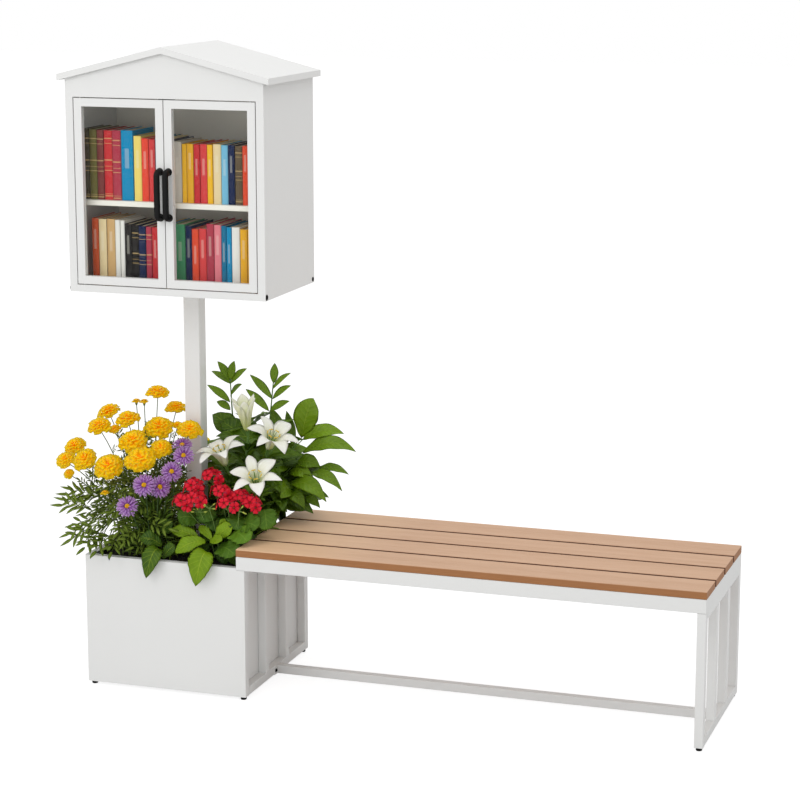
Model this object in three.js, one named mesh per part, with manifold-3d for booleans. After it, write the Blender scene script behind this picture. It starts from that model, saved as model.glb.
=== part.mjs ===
// A park bench with a planter at one end, and a glazed book cabinet on a post in the planter.
// Millimetres, +Z up, +X along the seat away from the planter, +Y from the front to the back.
// While it is drawn, X, Y and Z are zero at the planter's front left corner on the ground.

import * as THREE from 'three';
import { mergeVertices } from 'three/addons/utils/BufferGeometryUtils.js';
import loadKernel from 'manifold-3d';

const kernel = await loadKernel();
kernel.setup();

// Sizes of the whole object
const totalLength = 1850;
const totalDepth = 510;
const seatHeight = 454;

// Clearances: between faces that touch, and how far a cut runs past the face that it opens
const seam = 0.3;
const overrun = 4;

// Feet
const footHeight = 10;
const footRadius = 9;
const footRim = 1;
const footStemRadius = 4;
const footStemHeight = 14;

// Square tube of the bench frame
const tubeSize = 25;
const tubeWall = 2;
const tubeCorner = 1.5;
const apronHeight = 40;
const endRailHeight = 60;
const barCount = 2;
const bearerCount = 2;

// Seat slats
const slatThickness = 22;
const slatGap = 14;
const slatCorner = 2;
const slatCount = 4;

// Stretcher along the ground, bolted to the planter's end frame
const stretcherPlateThickness = 2.5;
const stretcherPlateWing = 22;
const boltRadius = 3;
const boltLength = 14;
const boltHeadRadius = 5.5;
const boltHeadHeight = 4;

// Planter
const planterWidth = 505;
const rimHeight = 398;
const sheet = 2;
const sheetCorner = 3;
const rimWidth = 20;
const baseFlange = 30;
const drainRadius = 7;
const drainGridShares = [0.25, 0.75];
const soilBelowRim = 20;
const soilCrown = 14;
const soilGridCount = 6;

// Post
const postSize = 50;
const postWall = 3;
const postCorner = 3;
const postPlateSize = 150;
const postPlateThickness = 6;

// Cabinet
const cabinetWidth = 610;
const cabinetDepth = 390;
const cabinetBottom = 1170;
const cabinetWallHeight = 627;
const cabinetFrontInset = 60;
const floorTrayHeight = 15;
const backPanelInset = 57;
const shelfRise = 248;
const shelfThickness = 15;
const shelfFrontInset = 45;

// Roof
const roofOverhangSide = 20;
const roofOverhangFront = 12;
const roofRise = 81;
const fascia = 18;

// Front frame of the cabinet and its doors
const frontFrameDepth = 20;
const sillHeight = 20.5;
const stileWidth = 23;
const headHeight = 64.5;
const doorGap = 3;
const doorThickness = 18;
const doorRailWidth = 23.5;
const glassThickness = 4;
const glassCover = 5;
const pivotInset = 17;
const pivotRadius = 3;
const pivotEngagement = 6;
const pivotPlay = 0.4;

// Handles
const handleHeight = 146;
const handleBarRadius = 9;
const handleStandoff = 24;
const handleElbowRadius = 12;
const handleFootRadius = 11;
const handleFootHeight = 4;

// Door catch
const catchWidth = 44;
const catchDepth = 14;
const catchDrop = 22;
const catchRise = 18;

// Books
const spineInset = 60;
const bookHeadroom = 40.7;
const bookDepth = 165;
const rowStart = 16;
const lowerRowStart = 40;

// Planting
const bloomHeight = 480;
const stemRadius = 2.2;
const leafThickness = 2.4;
const marigoldRadius = 38;
const budRadius = 11;
const asterRadius = 35;
const geraniumRadius = 29;
const lilyPetalLength = 92;
const lilyPetalWidth = 36;
const lilyThroatRadius = 9;
const lilyThroatLength = 46;
const lilyStemRadius = 4.5;
const sprayWidth = 44;
const sprayLift = 26;
const narrowLeafWidth = 22;
const geraniumLeafWidth = 62;
const shrubLeafWidth = 62;
const shootLeafWidth = 26;
const shootLeafLift = 8;
const rosetteLeafWidth = 58;

// Steps used for round shapes
const cornerSteps = 1;
const roundSteps = 10;
const stemSides = 4;
const stemSteps = 2;
const handleSides = 4;

// Places that follow from the sizes
const frameStart = planterWidth - tubeSize;
const apronTop = seatHeight - slatThickness;
const apronBottom = apronTop - apronHeight;
const endRailBottom = apronTop - endRailHeight;
const railTop = footHeight + tubeSize;
const panelTop = apronBottom - seam;
const middleY = totalDepth / 2;
const postX = planterWidth / 2;
const cabinetLeft = postX - cabinetWidth / 2;
const cabinetRight = postX + cabinetWidth / 2;
const cabinetFront = cabinetFrontInset;
const cabinetBack = cabinetFront + cabinetDepth;
const eaveHeight = cabinetBottom + cabinetWallHeight;
const ridgeHeight = eaveHeight + roofRise;
const shelfHeight = cabinetBottom + shelfRise;
const roofLeft = cabinetLeft - roofOverhangSide;
const roofRight = cabinetRight + roofOverhangSide;
const roofRiseShare = (ridgeHeight - eaveHeight) / (postX - roofLeft);
const roofSheetDrop = sheet * Math.hypot(1, roofRiseShare);
const openingLeft = cabinetLeft + stileWidth;
const openingRight = cabinetRight - stileWidth;
const openingBottom = cabinetBottom + sillHeight;
const openingTop = eaveHeight - headHeight;
const doorBottom = openingBottom + doorGap;
const doorTop = openingTop - doorGap;
const doorWidth = (openingRight - openingLeft - doorGap * 3) / 2;
const doorBack = cabinetFront + doorThickness;
const doorMiddle = cabinetFront + doorThickness / 2;
const insideLeft = cabinetLeft + sheet + seam;
const insideRight = cabinetRight - sheet - seam;
const frameBack = cabinetFront + frontFrameDepth;
const backPanelFront = cabinetBack - backPanelInset;
const floorPanelBottom = footHeight + sheet + seam;
const floorPanelTop = floorPanelBottom + sheet;
const soilTop = rimHeight - soilBelowRim;
const postPlateBottom = floorPanelTop + seam;
const postBottom = postPlateBottom + postPlateThickness + seam;
const topPlateBottom = cabinetBottom - seam - postPlateThickness;
const postTop = topPlateBottom - seam;
const endPanelRight = frameStart - seam;
const endPanelLeft = endPanelRight - sheet;
const footInset = baseFlange / 2;
const middleZ = rimHeight / 2;
const rightFrameStart = totalLength - tubeSize;

// Colours and finishes
const finish = (color, roughness, metalness) => (
  new THREE.MeshStandardMaterial({ color, roughness, metalness })
);
const whitePaint = finish(0xe6e7e6, 0.45, 0.1);
const slatWood = finish(0xc79d78, 0.6, 0);
const blackPlastic = finish(0x17181a, 0.5, 0);
const blackSteel = finish(0x1b1b1c, 0.4, 0.6);
const darkSoil = finish(0x1d1713, 0.95, 0);
const clearGlass = new THREE.MeshStandardMaterial({
  color: 0xdfe8e6,
  roughness: 0.05,
  metalness: 0,
  transparent: true,
  opacity: 0.35,
});
const bookCloth = finish(0xa03a30, 0.7, 0);
const marigoldGreen = finish(0x4d6b2c, 0.7, 0);
const asterPurple = finish(0x8a62b0, 0.7, 0);
const geraniumRed = finish(0xb8141c, 0.7, 0);
const lilyWhite = finish(0xf1efe2, 0.6, 0);
const shrubGreen = finish(0x2f5a1e, 0.55, 0);
const rosetteGreen = finish(0x8cb53a, 0.6, 0);

const model = new THREE.Group();

// Solids and meshes

function toSolid(geometry) {
  geometry.deleteAttribute('normal');
  geometry.deleteAttribute('uv');
  const merged = mergeVertices(geometry);
  return new kernel.Manifold(new kernel.Mesh({
    numProp: 3,
    vertProperties: new Float32Array(merged.attributes.position.array),
    triVerts: new Uint32Array(merged.index.array),
  }));
}

function addPiece(name, solid, material) {
  const { vertProperties, triVerts } = solid.getMesh();
  const geometry = new THREE.BufferGeometry();
  geometry.setAttribute('position', new THREE.BufferAttribute(new Float32Array(vertProperties), 3));
  geometry.setIndex(new THREE.BufferAttribute(new Uint32Array(triVerts), 1));
  geometry.computeVertexNormals();
  const mesh = new THREE.Mesh(geometry, material);
  mesh.name = name;
  model.add(mesh);
  return solid;
}

function joined(solids) {
  return solids.reduce((whole, solid) => whole.add(solid));
}

function largestBody(solid) {
  const bodies = solid.decompose();
  return bodies.reduce((best, body) => (body.volume() > best.volume() ? body : best));
}

// Outlines are drawn flat and pushed along one axis. Along X an outline's x and y become Y and Z,
// along Y they become X and Z, and along Z they stay X and Y.

const unitX = new THREE.Vector3(1, 0, 0);
const unitY = new THREE.Vector3(0, 1, 0);
const unitZ = new THREE.Vector3(0, 0, 1);
const pushAlong = {
  x: new THREE.Matrix4().makeBasis(unitY, unitZ, unitX),
  y: new THREE.Matrix4().makeBasis(unitX, unitZ, unitY.clone().negate()),
  z: new THREE.Matrix4().identity(),
};

function pushed(axis, outline, from, to) {
  const geometry = new THREE.ExtrudeGeometry(outline, {
    depth: to - from,
    bevelEnabled: false,
    curveSegments: cornerSteps,
  });
  geometry.applyMatrix4(pushAlong[axis]);
  const start = { x: [from, 0, 0], y: [0, to, 0], z: [0, 0, from] }[axis];
  geometry.translate(...start);
  return toSolid(geometry);
}

function polygon(points) {
  return new THREE.Shape(points.map(([x, y]) => new THREE.Vector2(x, y)));
}

function rectangle(left, low, right, high) {
  return polygon([[left, low], [right, low], [right, high], [left, high]]);
}

function roundedRectangle(left, low, right, high, radius) {
  const turn = Math.PI / 2;
  const outline = new THREE.Shape();
  outline.moveTo(left + radius, low);
  outline.absarc(right - radius, low + radius, radius, -turn, 0);
  outline.absarc(right - radius, high - radius, radius, 0, turn);
  outline.absarc(left + radius, high - radius, radius, turn, turn * 2);
  outline.absarc(left + radius, low + radius, radius, turn * 2, turn * 3);
  return outline;
}

function block([x0, y0, z0], [x1, y1, z1]) {
  return pushed('z', rectangle(x0, y0, x1, y1), z0, z1);
}

function cylinder(axis, centre, radius, from, to) {
  const outline = new THREE.Shape();
  for (let step = 0; step < roundSteps; step += 1) {
    const angle = (step * Math.PI * 2) / roundSteps;
    const point = [centre[0] + radius * Math.cos(angle), centre[1] + radius * Math.sin(angle)];
    if (step === 0) {
      outline.moveTo(...point);
    } else {
      outline.lineTo(...point);
    }
  }
  return pushed(axis, outline, from, to);
}

// A square or rectangular tube, open at both ends, that fills a box along one axis

function tube(axis, low, high, wall = tubeWall, corner = tubeCorner) {
  const [first, second, along] = { x: [1, 2, 0], y: [0, 2, 1], z: [0, 1, 2] }[axis];
  const outline = roundedRectangle(low[first], low[second], high[first], high[second], corner);
  const bore = rectangle(low[first] + wall, low[second] + wall, high[first] - wall, high[second] - wall);
  const outside = pushed(axis, outline, low[along], high[along]);
  return outside.subtract(pushed(axis, bore, low[along] - overrun, high[along] + overrun));
}

// Cuts a rail's end at 45 degrees in plan, so that it keeps the side that faces (towardX, towardY)

function mitred(solid, cornerX, cornerY, towardX, towardY) {
  const length = Math.hypot(towardX, towardY);
  const normal = [towardX / length, towardY / length, 0];
  const offset = cornerX * normal[0] + cornerY * normal[1] + seam / 2;
  return solid.trimByPlane(normal, offset);
}

// Feet: a round glide with a stem that enters the piece above it

function addFoot(name, x, y, stemHeight) {
  const padTop = footHeight - seam;
  const profile = [
    [0, 0],
    [footRadius - footRim, 0],
    [footRadius, footRim],
    [footRadius, padTop],
    [footStemRadius, padTop],
    [footStemRadius, footHeight + stemHeight],
    [0, footHeight + stemHeight],
  ];
  const geometry = new THREE.LatheGeometry(profile.map(([r, z]) => new THREE.Vector2(r, z)), roundSteps);
  geometry.rotateX(Math.PI / 2);
  geometry.translate(x, y, 0);
  return addPiece(name, toSolid(geometry), blackPlastic);
}

// A leg is a tube with a closed lower end, drilled for the stem of its foot

function leg(low, high) {
  const [x0, y0, z0] = low;
  const [x1, y1, z1] = high;
  const outside = pushed('z', roundedRectangle(x0, y0, x1, y1, tubeCorner), z0, z1);
  const inside = block(
    [x0 + tubeWall, y0 + tubeWall, z0 + tubeWall],
    [x1 - tubeWall, y1 - tubeWall, z1 + overrun],
  );
  const centre = [(x0 + x1) / 2, (y0 + y1) / 2];
  const hole = cylinder('z', centre, footStemRadius + seam, z0 - overrun, z0 + overrun);
  return outside.subtract(inside).subtract(hole);
}

// Planter

function planterShell() {
  const cutEnd = planterWidth + overrun;
  const cutLow = footHeight - overrun;
  const cutHigh = rimHeight + overrun;
  const plan = roundedRectangle(0, 0, cutEnd, totalDepth, sheetCorner);
  const hollow = (inset, left, low, high) => block([left, inset, low], [cutEnd, totalDepth - inset, high]);
  const cuts = [
    hollow(sheet, sheet, footHeight + sheet, rimHeight - sheet),
    hollow(rimWidth, rimWidth, middleZ, cutHigh),
    hollow(baseFlange, baseFlange, cutLow, middleZ),
    hollow(sheet, endPanelLeft - seam, cutLow, cutHigh),
    hollow(-overrun, frameStart - seam, panelTop, cutHigh),
    ...[footInset, totalDepth - footInset].map((y) => (
      cylinder('z', [footInset, y], footStemRadius + seam, cutLow, footHeight + overrun)
    )),
  ];
  const outside = pushed('z', plan, footHeight, rimHeight).trimByPlane([-1, 0, 0], -planterWidth);
  return outside.subtract(joined(cuts));
}

addPiece('planter_shell', planterShell(), whitePaint);
addPiece('planter_end_panel', block(
  [endPanelLeft, sheet + seam, footHeight],
  [endPanelRight, totalDepth - sheet - seam, rimHeight],
), whitePaint);

function planterFloor() {
  const low = [sheet + seam, sheet + seam, floorPanelBottom];
  const high = [endPanelLeft - seam, totalDepth - sheet - seam, floorPanelTop];
  const drains = drainGridShares.flatMap((acrossShare) => drainGridShares.map((backShare) => {
    const centre = [low[0] + (high[0] - low[0]) * acrossShare, low[1] + (high[1] - low[1]) * backShare];
    return cylinder('z', centre, drainRadius, floorPanelBottom - overrun, floorPanelTop + overrun);
  }));
  return block(low, high).subtract(joined(drains));
}

addPiece('planter_floor', planterFloor(), whitePaint);

const legCentre = frameStart + tubeSize / 2;
const shellLegInset = sheet + seam + tubeSize / 2;
addFoot('planter_foot_front_left', footInset, footInset, sheet);
addFoot('planter_foot_back_left', footInset, totalDepth - footInset, sheet);
addFoot('planter_foot_front_right', legCentre, shellLegInset, footStemHeight);
addFoot('planter_foot_back_right', legCentre, totalDepth - shellLegInset, footStemHeight);

// Post, with a base plate on the planter floor and a top plate under the cabinet

function squarePlate(low) {
  const half = postPlateSize / 2;
  const outline = roundedRectangle(postX - half, middleY - half, postX + half, middleY + half, postCorner);
  return pushed('z', outline, low, low + postPlateThickness);
}

const postHalf = postSize / 2;
addPiece('post_base_plate', squarePlate(postPlateBottom), whitePaint);
addPiece('post', tube(
  'z',
  [postX - postHalf, middleY - postHalf, postBottom],
  [postX + postHalf, middleY + postHalf, postTop],
  postWall,
  postCorner,
), whitePaint);
addPiece('post_top_plate', squarePlate(topPlateBottom), whitePaint);

// Soil, crowned in the middle, with room for the post and its base plate

const soilLow = [sheet + seam, sheet + seam, floorPanelTop + seam];
const soilHigh = [endPanelLeft - seam, totalDepth - sheet - seam, soilTop];

function soilBlock(lift) {
  const size = soilHigh.map((value, axis) => value - soilLow[axis]);
  const geometry = new THREE.BoxGeometry(...size, soilGridCount, soilGridCount, 1);
  const { position } = geometry.attributes;
  for (let index = 0; index < position.count; index += 1) {
    if (position.getZ(index) > 0) {
      const acrossShare = (position.getX(index) * 2) / size[0];
      const backShare = (position.getY(index) * 2) / size[1];
      const crown = soilCrown * (1 - acrossShare ** 2) * (1 - backShare ** 2);
      position.setZ(index, position.getZ(index) + crown);
    }
  }
  geometry.translate(...soilHigh.map((value, axis) => (value + soilLow[axis]) / 2));
  geometry.translate(0, 0, lift);
  return toSolid(geometry);
}

function squareAround(half, low, high) {
  return block([postX - half, middleY - half, low], [postX + half, middleY + half, high]);
}

const postRoom = squareAround(postHalf + seam, 0, cabinetBottom);
const plateRoom = squareAround(postPlateSize / 2 + seam, 0, postBottom);
addPiece('soil', soilBlock(0).subtract(postRoom).subtract(plateRoom), darkSoil);

// Bench frame: aprons and top rails meet in mitres on top of the legs

const endCover = sheet + seam;
const legTop = apronBottom - seam;

function apron(yLow) {
  const raw = tube('x', [frameStart, yLow, apronBottom], [totalLength, yLow + tubeSize, apronTop]);
  const outerY = yLow === 0 ? 0 : totalDepth;
  const side = yLow === 0 ? -1 : 1;
  const leftCut = mitred(raw, frameStart, outerY, 1, side);
  return mitred(leftCut, totalLength, outerY, -1, side);
}

// The deeper top rails are notched over the legs

function topRail(xLow, cover) {
  const raw = tube('y', [xLow, 0, endRailBottom], [xLow + tubeSize, totalDepth, apronTop]);
  const notchReach = cover + tubeSize + seam;
  const notchLeft = xLow - overrun;
  const notchRight = xLow + tubeSize + overrun;
  const notchLow = endRailBottom - overrun;
  const notches = joined([
    block([notchLeft, -overrun, notchLow], [notchRight, notchReach, apronBottom]),
    block([notchLeft, totalDepth - notchReach, notchLow], [notchRight, totalDepth + overrun, apronBottom]),
  ]);
  const outerX = xLow === frameStart ? frameStart : totalLength;
  const side = xLow === frameStart ? -1 : 1;
  const frontCut = mitred(raw.subtract(notches), outerX, 0, side, 1);
  return mitred(frontCut, outerX, totalDepth, side, -1);
}

addPiece('front_apron', apron(0), whitePaint);
addPiece('back_apron', apron(totalDepth - tubeSize), whitePaint);
addPiece('left_top_rail', topRail(frameStart, endCover), whitePaint);
addPiece('right_top_rail', topRail(rightFrameStart, 0), whitePaint);

const bearerSpan = rightFrameStart - planterWidth;
for (let index = 1; index <= bearerCount; index += 1) {
  const centre = planterWidth + (bearerSpan * index) / (bearerCount + 1);
  const low = [centre - tubeSize / 2, tubeSize + seam, apronTop - tubeSize];
  const high = [centre + tubeSize / 2, totalDepth - tubeSize - seam, apronTop];
  addPiece(`seat_bearer_${index}`, tube('y', low, high), whitePaint);
}

// End frames: two legs, a bottom rail between them and inner bars on the rail

const barPitch = (totalDepth - tubeSize) / (barCount + 1);
const boltOffset = tubeSize / 2 + stretcherPlateWing / 2;
const boltHeight = footHeight + tubeSize / 2;

function boltHoles(from, to) {
  return joined([-boltOffset, boltOffset].map((offset) => (
    cylinder('x', [middleY + offset, boltHeight], boltRadius + seam, from, to)
  )));
}

function addEndFrame(side, xLow, cover) {
  const xHigh = xLow + tubeSize;
  const front = cover;
  const back = totalDepth - cover;
  [['front', front], ['back', back - tubeSize]].forEach(([place, y]) => {
    addPiece(`${side}_${place}_leg`, leg([xLow, y, footHeight], [xHigh, y + tubeSize, legTop]), whitePaint);
  });
  const railLow = [xLow, front + tubeSize + seam, footHeight];
  const railHigh = [xHigh, back - tubeSize - seam, railTop];
  let rail = tube('y', railLow, railHigh);
  if (side === 'left') {
    rail = rail.subtract(boltHoles(xHigh - tubeWall - overrun, xHigh + overrun));
  }
  addPiece(`${side}_bottom_rail`, rail, whitePaint);
  for (let index = 1; index <= barCount; index += 1) {
    const low = [xLow, barPitch * index, railTop + seam];
    const high = [xHigh, barPitch * index + tubeSize, endRailBottom - seam];
    addPiece(`${side}_bar_${index}`, tube('z', low, high), whitePaint);
  }
}

addEndFrame('left', frameStart, endCover);
addEndFrame('right', rightFrameStart, 0);
const rightLegCentre = rightFrameStart + tubeSize / 2;
addFoot('bench_foot_front', rightLegCentre, tubeSize / 2, footStemHeight);
addFoot('bench_foot_back', rightLegCentre, totalDepth - tubeSize / 2, footStemHeight);

// Stretcher, its end plate and the two bolts into the planter's end frame

const plateLeft = planterWidth + seam;
const plateRight = plateLeft + stretcherPlateThickness;
const plateHalf = tubeSize / 2 + stretcherPlateWing;

function stretcherPlate() {
  const outline = roundedRectangle(middleY - plateHalf, footHeight, middleY + plateHalf, railTop, tubeCorner);
  const plate = pushed('x', outline, plateLeft, plateRight);
  return plate.subtract(boltHoles(plateLeft - overrun, plateRight + overrun));
}

addPiece('stretcher_plate', stretcherPlate(), whitePaint);
addPiece('floor_stretcher', tube(
  'x',
  [plateRight + seam, middleY - tubeSize / 2, footHeight],
  [rightFrameStart - seam, middleY + tubeSize / 2, railTop],
), whitePaint);

[['front', -boltOffset], ['back', boltOffset]].forEach(([place, offset]) => {
  const centre = [middleY + offset, boltHeight];
  const headStart = plateRight + seam;
  const shank = cylinder('x', centre, boltRadius, headStart - boltLength, headStart + boltHeadHeight / 2);
  const head = cylinder('x', centre, boltHeadRadius, headStart, headStart + boltHeadHeight);
  addPiece(`stretcher_bolt_${place}`, shank.add(head), blackSteel);
});

// Seat slats

const slatWidth = (totalDepth - slatGap * (slatCount - 1)) / slatCount;
for (let index = 0; index < slatCount; index += 1) {
  const front = index * (slatWidth + slatGap);
  const outline = roundedRectangle(front, apronTop + seam, front + slatWidth, seatHeight, slatCorner);
  addPiece(`seat_slat_${index + 1}`, pushed('x', outline, frameStart, totalLength), slatWood);
}

// Roof heights: the underside of its sheet, less the seam, at a distance along X

const underRoof = (x) => ridgeHeight - roofRiseShare * Math.abs(x - postX) - roofSheetDrop - seam;

// The gabled outline of a panel that stands under the roof

function gable(left, right, low, drop) {
  return polygon([
    [left, low], [right, low], [right, underRoof(right) - drop],
    [postX, underRoof(postX) - drop], [left, underRoof(left) - drop],
  ]);
}

function roof() {
  const outside = pushed('y', polygon([
    [roofLeft, eaveHeight - fascia], [postX, ridgeHeight - fascia], [roofRight, eaveHeight - fascia],
    [roofRight, eaveHeight], [postX, ridgeHeight], [roofLeft, eaveHeight],
  ]), cabinetFront - roofOverhangFront, cabinetBack + roofOverhangFront);
  const left = roofLeft + sheet;
  const right = roofRight - sheet;
  const low = eaveHeight - fascia - overrun;
  const inside = pushed('y', polygon([
    [left, low], [right, low], [right, underRoof(right) + seam],
    [postX, underRoof(postX) + seam], [left, underRoof(left) + seam],
  ]), cabinetFront - roofOverhangFront + sheet, cabinetBack + roofOverhangFront - sheet);
  return outside.subtract(inside);
}

addPiece('cabinet_roof', roof(), whitePaint);

// The front frame holds both doors on pivots let into its head and its sill

const leftPivotX = openingLeft + doorGap + pivotInset;
const rightPivotX = openingRight - doorGap - pivotInset;

function frontFrame() {
  const panel = pushed('y', gable(cabinetLeft, cabinetRight, cabinetBottom, 0), cabinetFront, frameBack);
  const opening = pushed(
    'y',
    rectangle(openingLeft, openingBottom, openingRight, openingTop),
    cabinetFront - overrun,
    frameBack + overrun,
  );
  const sockets = [leftPivotX, rightPivotX].map((x) => cylinder(
    'z',
    [x, doorMiddle],
    pivotRadius + pivotPlay,
    openingBottom - pivotEngagement - seam,
    openingTop + pivotEngagement + seam,
  ));
  return panel.subtract(opening).subtract(joined(sockets));
}

addPiece('cabinet_front_frame', frontFrame(), whitePaint);

const sideStart = frameBack + seam;
const sidePanel = (left, outerX) => (
  block([left, sideStart, cabinetBottom], [left + sheet, cabinetBack, underRoof(outerX)])
);
addPiece('cabinet_left_side', sidePanel(cabinetLeft, cabinetLeft), whitePaint);
addPiece('cabinet_right_side', sidePanel(cabinetRight - sheet, cabinetRight), whitePaint);

function cabinetFloor() {
  const low = [insideLeft, sideStart, cabinetBottom];
  const high = [insideRight, cabinetBack, cabinetBottom + floorTrayHeight];
  const hollowLow = low.map((value) => value + sheet);
  const hollowHigh = [high[0] - sheet, high[1] - sheet, high[2] + overrun];
  return block(low, high).subtract(block(hollowLow, hollowHigh));
}

addPiece('cabinet_floor', cabinetFloor(), whitePaint);

function cabinetBackPanel() {
  const low = cabinetBottom + floorTrayHeight + seam;
  const outside = pushed('y', gable(insideLeft, insideRight, low, 0), backPanelFront, cabinetBack);
  const hollow = gable(insideLeft + sheet, insideRight - sheet, low + sheet, roofSheetDrop);
  return outside.subtract(pushed('y', hollow, backPanelFront + sheet, cabinetBack + overrun));
}

addPiece('cabinet_back', cabinetBackPanel(), whitePaint);

function cabinetShelf() {
  const low = [insideLeft, cabinetFront + shelfFrontInset, shelfHeight];
  const high = [insideRight, backPanelFront - seam, shelfHeight + shelfThickness];
  const hollowLow = [low[0] + sheet, low[1] + sheet, low[2] - overrun];
  return block(low, high).subtract(block(hollowLow, high.map((value) => value - sheet)));
}

addPiece('cabinet_shelf', cabinetShelf(), whitePaint);

// Magnetic catch behind the tops of the meeting stiles, fixed to the back of the front frame

function doorCatch() {
  const outline = polygon([
    [doorBack + seam, openingTop - catchDrop],
    [frameBack + catchDepth, openingTop - catchDrop],
    [frameBack + catchDepth, openingTop + catchRise],
    [frameBack + seam, openingTop + catchRise],
    [frameBack + seam, openingTop - seam],
    [doorBack + seam, openingTop - seam],
  ]);
  const middle = (openingLeft + openingRight) / 2;
  return pushed('x', outline, middle - catchWidth / 2, middle + catchWidth / 2);
}

addPiece('door_catch', doorCatch(), blackPlastic);

// Doors: a rail and stile frame with a groove for the glass, a pivot pin at the top and the bottom

function doorFrame(left, right, pivotX) {
  const rim = doorRailWidth;
  const leafBlock = pushed('y', rectangle(left, doorBottom, right, doorTop), cabinetFront, doorBack);
  const window = pushed(
    'y',
    rectangle(left + rim, doorBottom + rim, right - rim, doorTop - rim),
    cabinetFront - overrun,
    doorBack + overrun,
  );
  const cover = rim - glassCover - seam;
  const grooveHalf = glassThickness / 2 + seam;
  const groove = pushed(
    'y',
    rectangle(left + cover, doorBottom + cover, right - cover, doorTop - cover),
    doorMiddle - grooveHalf,
    doorMiddle + grooveHalf,
  );
  const pinReach = doorGap + pivotEngagement;
  const pins = [
    [doorTop - glassCover, doorTop + pinReach],
    [doorBottom - pinReach, doorBottom + glassCover],
  ].map(([from, to]) => cylinder('z', [pivotX, doorMiddle], pivotRadius, from, to));
  return leafBlock.subtract(window).subtract(groove).add(joined(pins));
}

function doorGlass(left, right) {
  const cover = doorRailWidth - glassCover;
  return pushed(
    'y',
    rectangle(left + cover, doorBottom + cover, right - cover, doorTop - cover),
    doorMiddle - glassThickness / 2,
    doorMiddle + glassThickness / 2,
  );
}

// A bow handle: a round bar that turns back to the door at both ends and stands on two feet

function bowHandle(x) {
  const footFace = cabinetFront - seam;
  const middle = (doorBottom + doorTop) / 2;
  const low = middle - handleHeight / 2 + handleBarRadius;
  const high = middle + handleHeight / 2 - handleBarRadius;
  const out = footFace - handleStandoff;
  const bend = handleElbowRadius;
  const path = new THREE.CurvePath();
  const point = (y, z) => new THREE.Vector3(x, y, z);
  const lowElbow = [point(out + bend, low), point(out, low), point(out, low + bend)];
  const highElbow = [point(out, high - bend), point(out, high), point(out + bend, high)];
  path.add(new THREE.LineCurve3(point(footFace, low), lowElbow[0]));
  path.add(new THREE.QuadraticBezierCurve3(...lowElbow));
  path.add(new THREE.LineCurve3(lowElbow[2], highElbow[0]));
  path.add(new THREE.QuadraticBezierCurve3(...highElbow));
  path.add(new THREE.LineCurve3(highElbow[2], point(footFace, high)));
  const section = new THREE.Shape();
  section.absarc(0, 0, handleBarRadius, 0, Math.PI * 2);
  const bar = toSolid(new THREE.ExtrudeGeometry(section, {
    extrudePath: path,
    steps: Math.round(handleHeight / handleBarRadius),
    curveSegments: handleSides,
    bevelEnabled: false,
  }));
  const feet = [low, high].map((z) => (
    cylinder('y', [x, z], handleFootRadius, footFace - handleFootHeight, footFace)
  ));
  return bar.add(joined(feet));
}

function addDoor(side, left, pivotX, handleX) {
  const right = left + doorWidth;
  addPiece(`${side}_door_frame`, doorFrame(left, right, pivotX), whitePaint);
  addPiece(`${side}_door_glass`, doorGlass(left, right), clearGlass);
  addPiece(`${side}_door_handle`, bowHandle(handleX), blackPlastic);
}

const leftDoorStart = openingLeft + doorGap;
const rightDoorStart = leftDoorStart + doorWidth + doorGap;
addDoor('left', leftDoorStart, leftPivotX, leftDoorStart + doorWidth - doorRailWidth / 2);
addDoor('right', rightDoorStart, rightPivotX, rightDoorStart + doorRailWidth / 2);

// Books: each row is one run of spines. A book is [share of the widths, share of the row's height],
// and no book is as tall as the one beside it.

const upperBookShares = [
  [22, 0.99], [24, 0.985], [21, 0.98], [27, 0.975], [27, 0.98], [38, 0.985], [25, 0.91], [22, 0.88],
  [20, 0.87], [23, 0.89], [20, 0.88], [21, 0.86], [28, 0.85], [15, 0.82], [21, 0.825], [19, 0.82],
  [22, 0.825], [17, 0.82], [25, 0.83], [21, 0.82], [20, 0.825], [23, 0.815], [18, 0.82], [22, 0.84],
  [19, 0.835],
];
const lowerBookShares = [
  [22, 1], [25, 0.995], [26, 1], [16, 0.99], [16, 0.985], [26, 0.94], [21, 0.93], [22, 0.92], [21, 0.91],
  [18, 0.905], [22, 0.93], [20, 0.96], [20, 0.965], [31, 0.97], [20, 0.95], [21, 0.91], [23, 0.92],
  [23, 0.99], [22, 0.98], [16, 0.97], [16, 0.955], [25, 0.96], [22, 0.935], [20, 0.94], [22, 0.96],
];

const lowerBookBase = cabinetBottom + sheet + seam;
const upperBookBase = shelfHeight + shelfThickness + seam;
const bookRowHeight = shelfHeight - bookHeadroom - lowerBookBase;

function bookRow(base, start, bookShares) {
  const room = insideRight - insideLeft - start - rowStart;
  const shareTotal = bookShares.reduce((sum, [widthShare]) => sum + widthShare, 0);
  const front = cabinetFront + spineInset;
  let left = insideLeft + start;
  const outline = [[left, base]];
  bookShares.forEach(([widthShare, heightShare]) => {
    const right = left + (room * widthShare) / shareTotal;
    const top = base + bookRowHeight * heightShare;
    outline.push([left, top], [right, top]);
    left = right;
  });
  outline.push([left, base]);
  return pushed('y', polygon(outline), front, front + bookDepth);
}

addPiece('books_upper_row', bookRow(upperBookBase, rowStart, upperBookShares), bookCloth);
addPiece('books_lower_row', bookRow(lowerBookBase, lowerRowStart, lowerBookShares), bookCloth);

// Planting. A place is given as shares of the planter's width and depth and of the bloom height
// above the rim, so the plants follow the planter. Each plant is grown at its own size, and again
// with its stems, leaves and flowers swollen by the seam, which is the room that others leave it.

function placed([acrossShare, backShare, upShare]) {
  const height = rimHeight + bloomHeight * upShare;
  return new THREE.Vector3(planterWidth * acrossShare, totalDepth * backShare, height);
}

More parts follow.
